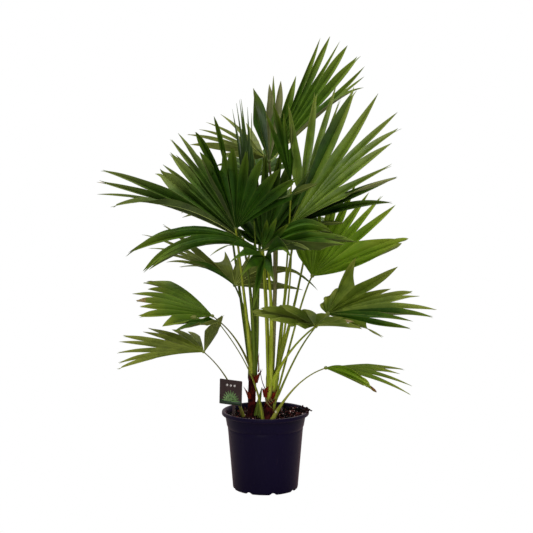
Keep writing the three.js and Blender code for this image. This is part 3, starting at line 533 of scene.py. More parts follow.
def blade(key, leaf, look, seed):
    rng = np.random.default_rng(seed)
    fold, wild, width, taper = look[3:7]
    hub = np.array(leaf["hub"], float)
    R = spread_ribs(leaf)
    n = leaf["n"]
    gaps = leaf.get("gaps", ())
    outer = leaf.get("outer", (1, 1))                               # how far the blade goes on past its outer ribs

    def on(i, t):
        d, L, s = R[i]
        t = np.asarray(t, float)[..., None]
        return hub + d * (L * t) - UP * (L * s * np.power(np.maximum(t, 0), 2.2))

    def rib(i, t):
        if i < 0:
            return (1 + outer[0]) * on(0, t) - outer[0] * on(1, t)
        if i >= n:
            return (1 + outer[1]) * on(n - 1, t) - outer[1] * on(n - 2, t)
        return on(i, t)

    def edge(k, t, side=0):
        """Fold k between fingers k-1 and k; at a gap each finger has its own edge (side -1 or 1), as far out as its other one."""
        if k in gaps and side:
            i = k if side > 0 else k - 1
            return 2 * rib(i, t) - edge(k + 1 if side > 0 else k - 1, t)
        return 0.5 * (rib(k - 1, t) + rib(k, t))

    join = np.array([0.88 if leaf.get("fused") is not None and i >= leaf["fused"] else leaf["join"] for i in range(n)])
    je = np.array([min(join[max(0, k - 1)], join[min(n - 1, k)]) for k in range(n + 1)])
    for k in gaps:
        je[k] = 0.0
    je = je * (1 + 0.12 * wild * rng.uniform(-1, 1, n + 1))
    for k, j in leaf.get("cuts", {}).items():
        if k not in gaps:
            je[k] = j
    ji = np.array([max(je[i], je[i + 1]) for i in range(n)])
    # which way the upper side faces: the rows' mean normal against the view from the front and above
    view = np.array([0.0, -1.0, 0.35]) * leaf["face"]
    facing = 0.0
    for i in range(n):
        along = rib(i, 0.55) - rib(i, 0.05)
        across = edge(i + 1, 0.4) - edge(i, 0.4)
        facing += float(np.cross(along, across) @ view)
    sg = 1.0 if facing > 0 else -1.0

    b = Build()
    keel = []

    def vert(p, uv, k=0.0):
        keel.append(k)
        return b.vert(p, uv)

    def quad(a0, b0, b1, a1, m):
        b.face((a0, a1, b1, b0) if sg > 0 else (a0, b0, b1, a1), m)

    tone = (rng.random(n) < 0.35).astype(int)                       # two tones of the same green, dealt out by finger
    shade, dry, tint = PAINTED_SHADE_HALVES.get(key, ()), DRY.get(key, {}), FINGER_TONES_AND_PAINTED_HIGHLIGHT.get(key, {})

    def paint(i, c):
        if i in tint:
            return tint[i]
        # painted shade: the left half of a listed finger takes the deep tone, slot 5
        return 5 if i in shade and c < 3 else int(tone[i])

    S = S_ROWS
    taus = np.linspace(0, 1, S + 1) ** 1.15
    P, EL, ER, tP, tL, tR = [], [], [], [], [], []
    for i in range(n):
        t0 = 2.2 / R[i][1]
        tP.append(t0 + (ji[i] - t0) * taus)
        P.append(rib(i, tP[-1]))
        for k, side, E, T in ((i, 1, EL, tL), (i + 1, -1, ER, tR)):
            r = R[i][1] if k in gaps else 0.5 * (R[max(0, k - 1)][1] + R[min(n - 1, k)][1])
            t0 = 2.2 / r
            end = ji[i] if k in gaps else je[k]
            T.append(t0 + (end - t0) * taus)
            E.append(edge(k, T[-1], side))
    N, W = [], []
    for i in range(n):
        along = np.gradient(P[i], axis=0)
        N.append(unit(np.cross(along, ER[i] - EL[i])) * sg)
        W.append(0.5 * np.linalg.norm(ER[i] - EL[i], axis=1))
    typical = float(np.median([w[-1] for w in W]))
    depth = fold * (1.3 - 0.4 * taus)                               # pleats are sharpest near the hub
    EpL, EpR = [], []
    for i in range(n):
        for k, other, E, out in ((i, i - 1, EL, EpL), (i + 1, i + 1, ER, EpR)):
            if k in gaps or not 0 <= other < n:
                nn, ww = N[i], W[i]
            else:
                nn, ww = unit(N[i] + N[other]), 0.5 * (W[i] + W[other])
            out.append(E[i] + nn * (depth * ww)[:, None])
    Cp = [P[i] - N[i] * (depth * W[i])[:, None] for i in range(n)]

    def strip(L, C, Rr, Nn, w, delta, bulge):
        """The five inner columns between two folds: mid, rib edge, rib, rib edge, mid."""
        ML, MR = 0.5 * (L + C) + Nn * bulge * w, 0.5 * (Rr + C) + Nn * bulge * w
        dl, dr = unit(L - C), unit(Rr - C)
        dd = min(delta, 0.3 * w)
        return ML, C + dl * dd, C, C + dr * dd, MR

    rows = [[None] * 7 for _ in range(n)]
    for i in range(n):
        rows[i] = [[0] * 7 for _ in range(S + 1)]
        for s in range(S + 1):
            row = rows[i][s]
            row[0] = rows[i - 1][s][6] if i > 0 and i not in gaps else vert(EpL[i][s], (i, tL[i][s]))
            delta = 0.75 - 0.25 * taus[s]
            pts = strip(EpL[i][s], Cp[i][s], EpR[i][s], N[i][s], W[i][s], delta, 0.10)
            for c, (p, uo) in enumerate(zip(pts, (0.25, 0.46, 0.5, 0.54, 0.75))):
                row[1 + c] = vert(p, (i + uo, tP[i][s]), 0.7 * (1 - 0.5 * taus[s]) if c == 2 else 0.0)
            row[6] = vert(EpR[i][s], (i + 1, tR[i][s]))
        for s in range(S):
            for c in range(6):
                quad(rows[i][s][c], rows[i][s][c + 1], rows[i][s + 1][c + 1], rows[i][s + 1][c], 3 if c in (2, 3) else paint(i, c))

    # free fingers
    for i in range(n):
        L = R[i][1]
        j = ji[i]
        free = (1 - j) * L
        split = rng.random() < 0.4 and not (leaf.get("fused") is not None and i >= leaf["fused"])
        us = rng.uniform(0.80, 0.92)
        power = max(1.05, taper * rng.uniform(0.88, 1.15))
        lat = rng.normal(0, 0.03 * wild)
        drop = abs(rng.normal(0, 0.025 * wild))
        twist = rng.normal(0, 0.5 * wild)
        fq = fold * rng.uniform(0.7, 1.3)
        ue = (rng.uniform(0.95, 1.0), 1.0) if rng.random() < 0.5 else (1.0, rng.uniform(0.95, 1.0))
        Q = Q_ROWS
        qs = max(4, int(round(us * Q))) if split else Q
        us = qs / Q

        def frame_at(u):
            t = j + (1 - j) * u
            c = rib(i, t)
            al = unit(rib(i, t + 0.01) - rib(i, t - 0.01))
            ac = edge(i + 1, t, -1) - edge(i, t, 1)
            ac = unit(ac - al * float(ac @ al))
            nn = np.cross(al, ac)
            ph = twist * u * u
            ac, nn = ac * math.cos(ph) + nn * math.sin(ph), nn * math.cos(ph) - ac * math.sin(ph)
            c = c + ac * (free * lat * u * u) - UP * (free * drop * u ** 3)
            return c, ac, nn * sg, t

        w0 = width * leaf.get("wide", {}).get(i, 1.0) * min(max(W[i][S], 0.85 * typical), 1.2 * typical)

        def profile(u):
            q = min(1.0, u / 0.4)
            return (1 - u ** power) * (1 - 0.14 * q * q * (3 - 2 * q))

        def cross(u, w, depth_f):
            c, ac, nn, t = frame_at(u)
            Lp, Rp = c - ac * w + nn * (depth_f * w), c + ac * w + nn * (depth_f * w)
            C = c - nn * (depth_f * w)
            return Lp, C, Rp, nn, ac, t

        base_depth = depth[S]
        L0, C0, R0, *_ = cross(0.0, w0, base_depth)
        fixL, fixC, fixR = EpL[i][S] - L0, Cp[i][S] - C0, EpR[i][S] - R0
        prev = rows[i][S]
        us_w = w0 * profile(us)
        for q in range(1, qs + 1):
            u = q / Q
            w = w0 * profile(u)
            dpt = base_depth + (fq - base_depth) * min(1.0, u * 2)
            Lp, C, Rp, nn, ac, t = cross(u, w, dpt)
            if q == Q:
                tip = vert(C, (i + 0.5, 1.0))
                for c in range(6):
                    tri = (prev[c], prev[c + 1], tip)
                    b.face(tri[::-1] if sg > 0 else tri, 6 if i in dry else paint(i, c))
                prev = None
                break
            k3 = (1 - u) ** 3
            Lp, C, Rp = Lp + fixL * k3, C + fixC * k3, Rp + fixR * k3
            pts = strip(Lp, C, Rp, nn, w, 0.5, 0.12)
            cur = [vert(Lp, (i + 0.02, t))]
            for c, (p, uo) in enumerate(zip(pts, (0.25, 0.46, 0.5, 0.54, 0.75))):
                cur.append(vert(p, (i + uo, t), 0.3 * (1 - u) if c == 2 else 0.0))
            cur.append(vert(Rp, (i + 0.98, t)))
            for c in range(6):
                quad(prev[c], prev[c + 1], cur[c + 1], cur[c], 6 if u > dry.get(i, 2) else 3 if c in (2, 3) else paint(i, c))
            prev = cur
        if prev is None:
            continue
        # the tip splits in two along the rib
        dpt = fq
        gap_end = us_w * rng.uniform(0.4, 1.0) + 0.4
        for side in (0, 1):
            sgn = -1 if side == 0 else 1
            cols = prev[0:4] if side == 0 else prev[3:7]
            steps = Q - qs
            for q in range(1, steps + 1):
                f = q / steps
                u = us + (ue[side] - us) * f
                c, ac, nn, t = frame_at(u)
                w = us_w * (1 - f ** 1.5)
                g = gap_end * f * f + 0.15 * f
                inner = c + ac * sgn * g - nn * (dpt * w)
                outer = c + ac * sgn * (g + w) + nn * (dpt * w)
                if q == steps:
                    tipv = vert(inner, (i + 0.5, 1.0))
                    for a in range(3):
                        tri = (cols[a], cols[a + 1], tipv)
                        b.face(tri[::-1] if sg > 0 else tri, 6 if i in dry else paint(i, 3))
                    break
                m1, m2 = outer + (inner - outer) * 0.45, outer + (inner - outer) * 0.86
                m1 = m1 + nn * 0.1 * w
                if side == 0:
                    cur = [vert(outer, (i + 0.02, t)), vert(m1, (i + 0.25, t)), vert(m2, (i + 0.44, t)), vert(inner, (i + 0.5, t))]
                else:
                    cur = [vert(inner, (i + 0.5, t)), vert(m2, (i + 0.56, t)), vert(m1, (i + 0.75, t)), vert(outer, (i + 0.98, t))]
                for a in range(3):
                    quad(cols[a], cols[a + 1], cur[a + 1], cur[a], 6 if u > dry.get(i, 2) else paint(i, 3))
                cols = cur
    b.wall = 2
    b.solidify(0.32, keel, under={0: 2, 1: 2, 2: 2, 3: 4, 5: 2, 6: 6, 7: 2})
    return b, sg


def make_blades():
    for num, (key, leaf) in enumerate(LEAVES.items()):
        look = LOOK[key]
        b, _ = blade(key, leaf, look, 1000 + num)
        # slot 7 is the dark tone, except on lower_right, where the bright tone paints a highlight on the front lobe
        mats = [MAT[look[0]], MAT[look[0] + "_2"], MAT[look[1]],
                MAT["rib_dark"] if look[0] in ("deep", "dark", "shade") else MAT["rib"], MAT["rib"], MAT["deep"], MAT["dry_brown" if key == "lower_right" else "dry_tip"], MAT["bright" if key == "lower_right" else "dark"]]
        ob = b.object("blade_" + key, mats, angle=34.0)
        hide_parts("frond_" + key)


# ------------------------------------------------------------------ stalks


def stalk_points(leaf):
    B, M, H = (np.array(leaf[k], float) for k in ("base", "mid", "hub"))
    C = 2 * M - 0.5 * (B + H)
    return B, C, H


def stem_core(S, z):
    """Axis and bare radius of a stem at height z, inside its old sheaths."""
    u = min(1.0, max(0.0, (z - SOIL["z"]) / (S["z"] - SOIL["z"])))
    return (S["base"][0] + (S["top"][0] - S["base"][0]) * u, S["base"][1] + (S["top"][1] - S["base"][1]) * u,
            (S["baseR"] + (S["topR"] - S["baseR"]) * u) * 0.8 - 0.4)


def stalk(key, leaf, seed):
    rng = np.random.default_rng(seed)
    B, C, H = stalk_points(leaf)
    r1 = leaf["reach"][1]
    planted = leaf["base"][2] < 200
    S = STEM_L if leaf["base"][0] < -15 and not planted else STEM_R
    low_one = not planted and leaf["base"][2] < 250
    r0 = {"lower_left": 7.0, "small_left": 5.2, "lower_right": 5.4}[key] if planted else (4.6 if low_one else rng.uniform(5.0, 6.0))
    cx, cy = S["top"]
    b = Build()
    steps, sides = 44, 16
    ts = np.linspace(0, 1, steps + 1)
    P = [(1 - t) ** 2 * B + 2 * t * (1 - t) * C + t * t * H for t in ts]
    if low_one:
        lean = np.array([B[0] - cx, B[1] - cy, 0.0])
        lean = lean / float(np.linalg.norm(lean)) * (5.0 if key == "right_low" else 3.0)
        P = [p - lean * max(0.0, 1 - t / 0.4) ** 2 for p, t in zip(P, ts)]
    tans = [unit(2 * (1 - t) * (C - B) + 2 * t * (H - C)) for t in ts]
    pts, tg, vs, wide, deep = [], [], [], [], []
    if planted:
        for q in (10.0, 4.0):
            pts.append(P[0] - tans[0] * q)
            tg.append(tans[0])
            vs.append(-0.01)
            wide.append(r0 * 1.25)
            deep.append(r0 * 0.8)
    else:
        # the foot of the stalk clasps the stem on its way down
        e = np.array([B[0] - cx, B[1] - cy, 0.0])
        rho0 = float(np.linalg.norm(e))
        e = e / rho0
        turn = rng.uniform(-0.35, 0.35)
        ext = 22.0 if low_one else rng.uniform(28.0, 42.0)
        bare, fade = 0.3, 0.25
        if low_one:                                                # these two run down beside the stem before they join it
            ext, bare, fade = 46.0, 1.8, 0.22
        if key == "front_low":                                     # this one's foot stays outside the old sheaths further down
            ext, bare, fade = 50.0, 3.0, 0.17
        down = []
        for q in np.linspace(1, 0, 9)[:-1]:
            z = B[2] - ext * q
            ax, ay, core = stem_core(S, z)
            rho = rho0 + (core + bare - rho0) * (3 * q * q - 2 * q ** 3)
            c, s = math.cos(turn * q), math.sin(turn * q)
            down.append(np.array([ax + (e[0] * c - e[1] * s) * rho, ay + (e[0] * s + e[1] * c) * rho, z]))
        if low_one:                                                # one smooth sweep from the stalk to its foot
            t0, end = unit(P[2] - P[0]), down[0]
            down = [(2 * q ** 3 - 3 * q * q + 1) * P[0] - (q ** 3 - 2 * q * q + q) * t0 * ext * 0.9 + (3 * q * q - 2 * q ** 3) * end - (q ** 3 - q * q) * UP * ext * 0.8
                    for q in np.linspace(1, 0, 9)[:-1]]
        path = down + [P[0]]
        for k, p in enumerate(down):
            q = 1 - k / 8
            pts.append(p)
            tg.append(unit(path[k + 1] - p) if k else UP)
            vs.append(-fade * q)
            wide.append(r0 * (1.0 + 0.35 * math.sin(math.pi * min(1.0, q * 0.8))) * (1.0 if q < 0.75 else 1 - 2.6 * (q - 0.75)))
            deep.append(r0 * (0.8 - 0.5 * q))
    first = len(pts)
    for t, p, tn in zip(ts, P, tans):
        r = r1 + (r0 - r1) * (1 - t) ** (2.6 if planted else 1.9) + 0.35 * (1 - t)
        pts.append(p)
        tg.append(tn)
        vs.append(t)
        wide.append(r * 1.04)
        deep.append(r * 0.84)
    wob = rng.normal(0, 0.6, 3)
    R = spread_ribs(leaf)
    best = max(range(len(R)), key=lambda i: float(R[i][0] @ tans[-1]))

    def frame(p, tn, t):
        inward = np.array([cx - p[0], cy - p[1], 0.0])
        inward = unit(inward) if np.linalg.norm(inward) > 2 else np.zeros(3)
        ad = UP * (0.25 + t if t > 0 else 0.05) + inward * (1 - 0.8 * max(0.0, t))
        ad = unit(ad - tn * float(ad @ tn))
        return ad, np.cross(tn, ad)

    rings = []
    for p, tn, t, a, d in zip(pts, tg, vs, wide, deep):
        ad, sd = frame(p, tn, t)
        mid = math.sin(math.pi * max(0.0, t))
        p = p + sd * wob[0] * mid + ad * wob[1] * mid
        ring = []
        for s in range(sides):
            phi = 2 * math.pi * s / sides
            x, y = math.cos(phi), math.sin(phi)
            if y > 0:
                y = 0.42 * y - 0.30 * math.exp(-(x / 0.42) ** 2) * min(1.0, 0.35 + max(0.0, t) * 2)
            else:
                y = 0.95 * y
            ring.append(b.vert(p + sd * (a * x) + ad * (d * y), (s / sides, t)))
        rings.append(ring)
    # the stalk runs on under the blade as a tapering costa
    d, L, sg = R[best]
    cost = 0.16 * L
    for q in (0.25, 0.6, 1.0):
        t = cost * q / L
        p = np.array(leaf["hub"], float) + d * (L * t) - UP * (L * sg * t ** 2.2)
        al = d
        view = np.array([0.0, -1.0, 0.35]) * leaf["face"]
        across = unit(np.cross(al, view))
        nn = unit(np.cross(across, al))
        rr = r1 * (1 - 0.85 * q)
        ring = []
        for s in range(sides):
            phi = 2 * math.pi * s / sides
            ring.append(b.vert(p - nn * (0.9 * r1 * (0.4 + 0.6 * q) * (1 - 0.5 * q)) + across * (-rr * math.cos(phi)) + nn * (0.6 * rr * math.sin(phi)), (s / sides, 1.0)))
        rings.append(ring)
    for k in range(len(rings) - 1):
        A, Bq = rings[k], rings[k + 1]
        for s in range(sides):
            e = (s + 1) % sides
            b.face((A[s], A[e], Bq[e], Bq[s]), 0)
    b.face(tuple(reversed(rings[0])), 0)
    b.face(tuple(rings[-1]), 0)
    # small teeth along both edges of the lower half
    for k in range(first + 4, first + 26, 2):
        for side in (-1, 1):
            if rng.random() < 0.35:
                continue
            p, tn, t = pts[k], tg[k], vs[k]
            ad, sd = frame(p, tn, t)
            q = p + sd * (side * wide[k] * 0.98)
            tip = q + sd * side * rng.uniform(0.9, 1.6) - tn * 0.9
            v = [b.vert(q + tn * 0.8 - sd * side * 0.5, (0, t)), b.vert(q - tn * 0.8 - sd * side * 0.5, (0, t)), b.vert(q + ad * 0.45 - sd * side * 0.5, (0, t)), b.vert(tip, (0, t))]
            for f in ((0, 1, 2), (0, 3, 1), (1, 3, 2), (2, 3, 0)):
                b.face([v[x] for x in (f if side > 0 else f[::-1])], 0)
    # hastula: the small raised lip where the blade's folds meet the stalk
    hubp = np.array(leaf["hub"], float)
    view = np.array([0.0, -1.0, 0.35]) * leaf["face"]
    al = unit(R[best][0] * 0.5 + tans[-1] * 0.5)
    nn = unit(view - al * float(view @ al))
    ac = np.cross(al, nn)
    top = b.vert(hubp + nn * (r1 * 0.9) + al * 1.5, (0, 1))
    bot = b.vert(hubp - nn * 0.5, (0, 1))
    ring = []
    for s in range(12):
        phi = 2 * math.pi * s / 12
        x, y = math.cos(phi), math.sin(phi)
        ring.append(b.vert(hubp + ac * (x * (r1 * 1.4 + 0.8)) + al * (y * (r1 * 1.2 + 1.6) + 1.5) + nn * 0.25, (0, 1)))
    for s in range(12):
        e = (s + 1) % 12
        b.face((ring[s], ring[e], top), 1)
        b.face((ring[e], ring[s], bot), 1)
    return b


def make_stalks():
    for num, (key, leaf) in enumerate(LEAVES.items()):
        b = stalk(key, leaf, 2000 + num)
        ob = b.object("stalk_" + key, [MAT[LOOK[key][2]], MAT["rib_dark" if LOOK[key][0] in ("deep", "dark", "shade", "mid") else "rib"]], angle=50.0)
        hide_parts("petiole_" + key)


# ------------------------------------------------------------------ stems, with the relief of old leaf sheaths


def stem(name, S, seed):
    rng = np.random.default_rng(seed)
    b = Build()
    sides, rows = 96, 90
    z0, z1 = SOIL["z"] - 4.0, S["z"] + 4.0
    sheaths = []
    count = 10
    for i in range(count):
        sheaths.append(dict(a=math.radians(137.5 * i + rng.uniform(-15, 15)), top=z0 + 16 + (z1 - z0) * (0.10 + 0.92 * i / count),
                            half=math.radians(rng.uniform(50, 85)), out=0.34 * (count - i) ** 0.8, lean=rng.uniform(-0.3, 0.3)))
    zs = np.linspace(z0, z1, rows + 1)
    th = np.linspace(0, 2 * np.pi, sides, endpoint=False)
    grid = []
    for z in zs:
        u = min(1.0, max(0.0, (z - SOIL["z"]) / (S["z"] - SOIL["z"])))
        cx, cy, core = stem_core(S, z)
        core -= 0.4 + 2.0 * max(0.0, u - 0.75) * 4
        frag = noise(np.stack([np.cos(th) * 9, np.sin(th) * 9, np.full_like(th, seed * 1.7)], -1), seed) * 20
        r = np.full_like(th, core)
        for sh in sheaths:
            da = (th - sh["a"] - sh["lean"] * (z - z0) / 60 + np.pi) % (2 * np.pi) - np.pi
            room = sh["top"] + frag - z
            half = sh["half"] * np.clip(room / 34.0, 0, 1) ** 0.55
            inside = np.clip((half - np.abs(da)) / 0.10, 0, 1)
            r = np.maximum(r, core + inside * (0.5 + sh["out"] * 0.55))
        fine = noise(np.stack([th * 34, np.full_like(th, z * 0.05), np.full_like(th, 3.3)], -1), seed + 5)
        r = r + (fine - 0.5) * 1.1
        foot = max(0.0, 1 - (z - SOIL["z"]) / 16.0)
        r = r + foot * foot * 2.4
        grid.append([b.vert((cx + rr * math.cos(t), cy + rr * math.sin(t), z), (t / 6.2832, u)) for rr, t in zip(r, th)])
    for k in range(rows):
        for s in range(sides):
            e = (s + 1) % sides
            b.face((grid[k][s], grid[k][e], grid[k + 1][e], grid[k + 1][s]), 0)
    b.face(tuple(reversed(grid[0])), 0)
    c = b.vert((S["top"][0], S["top"][1], z1 - 3.0), (0, 1))
    for s in range(sides):
        b.face((grid[-1][s], grid[-1][(s + 1) % sides], c), 0)
    ob = b.object("bark_" + name, [MAT["sheath" if name == "stem_left" else "sheath_brown"]], angle=40.0)
    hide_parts(name)


def flap(k, F, seed):
    """A torn, cupped tatter of sheath fibre, drawn out to a point on one side."""
    rng = np.random.default_rng(seed)
    b = Build()
    foot, tip = np.array(F["foot"], float), np.array(F["tip"], float)
    up = tip - foot
    skew = 1.0 if up[0] > 2 else (-1.0 if up[0] < -6 else 0.35)
    up = np.array([up[0] * 0.35, up[1], up[2]])
    side, out = np.array([1.0, 0, 0]), np.array([0.0, -1.0, 0.0])
    rows, cols = 14, 14
    tears = [rng.uniform(0.0, 0.30) if j % 3 == 1 else 0.0 for j in range(cols + 1)]
    grid = []
    for i in range(rows + 1):
        u = i / rows
        half = F["w"] / 2 * (0.55 + 0.6 * u)
        line = []
        for j in range(cols + 1):
            x = 2 * j / cols - 1
            reach = 0.50 + 0.50 * max(0.0, 0.5 + 0.5 * x * skew) ** 1.8 - 0.5 * tears[j] * u
            cup = (1 - x * x) * 1.8 - 0.4
            p = foot + up * (u * reach) + side * (x * half + skew * 2.5 * u * u) + out * (cup + 2.2 * u * u) + side * rng.uniform(-0.2, 0.2)
            line.append(b.vert(p, (j / cols, u)))
        grid.append(line)
    for i in range(rows):
        for j in range(cols):
            b.face((grid[i][j], grid[i][j + 1], grid[i + 1][j + 1], grid[i + 1][j]), 0)
    b.solidify(0.35)
    ob = b.object("torn_sheath_%d" % k, [MAT["sheath_red"]], angle=40.0)
    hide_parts("sheath_flap_%d" % k)


def tube(b, pts, radii, sides=5, mat=0):
    pts = np.asarray(pts, float)
    tg = unit(np.gradient(pts, axis=0))
    ref = np.array([0.3, 0.9, 0.2])
    rings = []
    for p, t, r in zip(pts, tg, radii):
        x = unit(np.cross(t, ref))
        y = np.cross(t, x)
        rings.append([b.vert(p + (x * math.cos(2 * math.pi * s / sides) + y * math.sin(2 * math.pi * s / sides)) * r) for s in range(sides)])
    for A, B in zip(rings, rings[1:]):
        for s in range(sides):
            e = (s + 1) % sides
            b.face((A[s], B[s], B[e], A[e]), mat)
    b.face(tuple(rings[0]), mat)
    b.face(tuple(reversed(rings[-1])), mat)


def make_fibres():
    """Loose brown threads, crossing strips of old sheath, a dry twig and two young shoots between the stalk feet."""
    rng = np.random.default_rng(77)
    b = Build()
    for S, many in ((STEM_L, 34), (STEM_R, 30)):
        for _ in range(many):
            a = rng.uniform(0, 2 * np.pi)
            z = SOIL["z"] + (S["z"] - SOIL["z"]) * rng.uniform(0.05, 0.75)
            cx, cy, r = stem_core(S, z)
            out = np.array([math.cos(a), math.sin(a), 0])
            L = rng.uniform(12, 30)
            lean = rng.uniform(-0.5, 0.5)
            pts = []
            for q in np.linspace(0, 1, 8):
                pts.append(np.array([cx, cy, 0]) + out * (r + 1.0 + L * 0.10 * q * q) + np.array([-out[1], out[0], 0]) * (lean * L * q * q * 0.7) + UP * (z + L * q * (1 - 0.25 * q)))
            tube(b, pts, np.linspace(0.45, 0.14, 8), 4, int(rng.random() < 0.4))
    # strips that cross over each other on the front of the right-hand stem
    for k in range(22):
        lean = (1 if k % 2 else -1) * rng.uniform(0.5, 1.1)
        z = rng.uniform(212, 248)
        a0 = -math.pi / 2 + rng.uniform(-0.9, 0.9)
        L = rng.uniform(14, 26)
        pts = []
        for q in np.linspace(0, 1, 9):
            zz = z + L * (q - 0.5)
            cx, cy, r = stem_core(STEM_R, zz)
            a = a0 + lean * L * (q - 0.5) / r
            rr = r + 2.2 + 0.9 * math.sin(math.pi * q) + (k % 3) * 0.5
            pts.append(np.array([cx + rr * math.cos(a), cy + rr * math.sin(a), zz]))
        tube(b, pts, 0.35 + 0.75 * np.sin(np.linspace(0.15, math.pi - 0.15, 9)), 5, 2 if k % 4 == 0 else (1 if k % 2 else 0))
    # a narrow dry strip up the left-hand stalks, and a twig across the gap
    q = np.linspace(0, 1, 10)[:, None]
    strip = np.array([-17.0, -23.0, 288.0]) * (1 - q) + np.array([-15.5, -20.0, 334.0]) * q + np.sin(q * 7) * np.array([0.8, 0.3, 0])
    tube(b, strip, 1.5 * (1 - q[:, 0]) ** 0.6 + 0.3, 5, 1)
    twig = np.array([-13.0, -27.0, 297.0]) * (1 - q) + np.array([1.0, -43.0, 248.0]) * q + np.sin(q * math.pi) * np.array([-2.0, -2.0, -3.0])
    tube(b, twig, np.linspace(0.8, 1.3, 10), 6, 0)
    ob = b.object("stem_threads", [MAT["sheath"], MAT["sheath_red"], MAT["sheath_pale"]], angle=60.0)

    # young shoots: short pointed green sheaths that stand in the soil between the stems, and one pale torn one
    b = Build()
    for foot, tip, wide, mat in (((-24, -14, 172), (-8, -11, 250), 6.0, 1), ((-15, -26, 172), (-13, -22, 216), 4.5, 1), ((24.2, -60.6, 197), (32.4, -60.4, 211.5), 2.9, 2)):
        foot, tip = np.array(foot, float), np.array(tip, float)
        al = unit(tip - foot)
        ac = unit(np.cross(al, np.array([0.0, 1.0, 0.0])))
        nn = np.cross(ac, al)
        rings = []
        for qq in np.linspace(0, 1, 14):
            w = wide * (1 - qq ** 2.2) + 0.25
            p = foot + (tip - foot) * qq + nn * (3.0 * math.sin(math.pi * qq) * 0.4)
            rings.append([b.vert(p + ac * (w * math.cos(2 * math.pi * s / 12)) + nn * (0.6 * w * math.sin(2 * math.pi * s / 12)), (s / 12, 0.2)) for s in range(12)])
        for A, Bq in zip(rings, rings[1:]):
            for s in range(12):
                e = (s + 1) % 12
                b.face((A[s], Bq[s], Bq[e], A[e]), mat)
        b.face(tuple(rings[0]), mat)
        b.face(tuple(reversed(rings[-1])), mat)
    ob = b.object("young_shoots", [MAT["stalk_olive"], MAT["stalk_dark"], MAT["sheath_cream"]], angle=60.0)


# ------------------------------------------------------------------ pot


def inner_radius(z):
    P = POT
    steps = [(P["footZ"], P["footR"]), (P["waistZ"], P["waistR"]), (P["shoulderZ"], P["shoulderR"]), (P["rimZ"] - P["lip"], P["neckR"]), (P["rimZ"], P["neckR"] + 1.5)]
    for (za, ra), (zb, rb) in zip(steps, steps[1:]):
        if z <= zb:
            return ra + (z - za) / (zb - za) * (rb - ra) - P["wall"]
    return P["neckR"] - P["wall"]


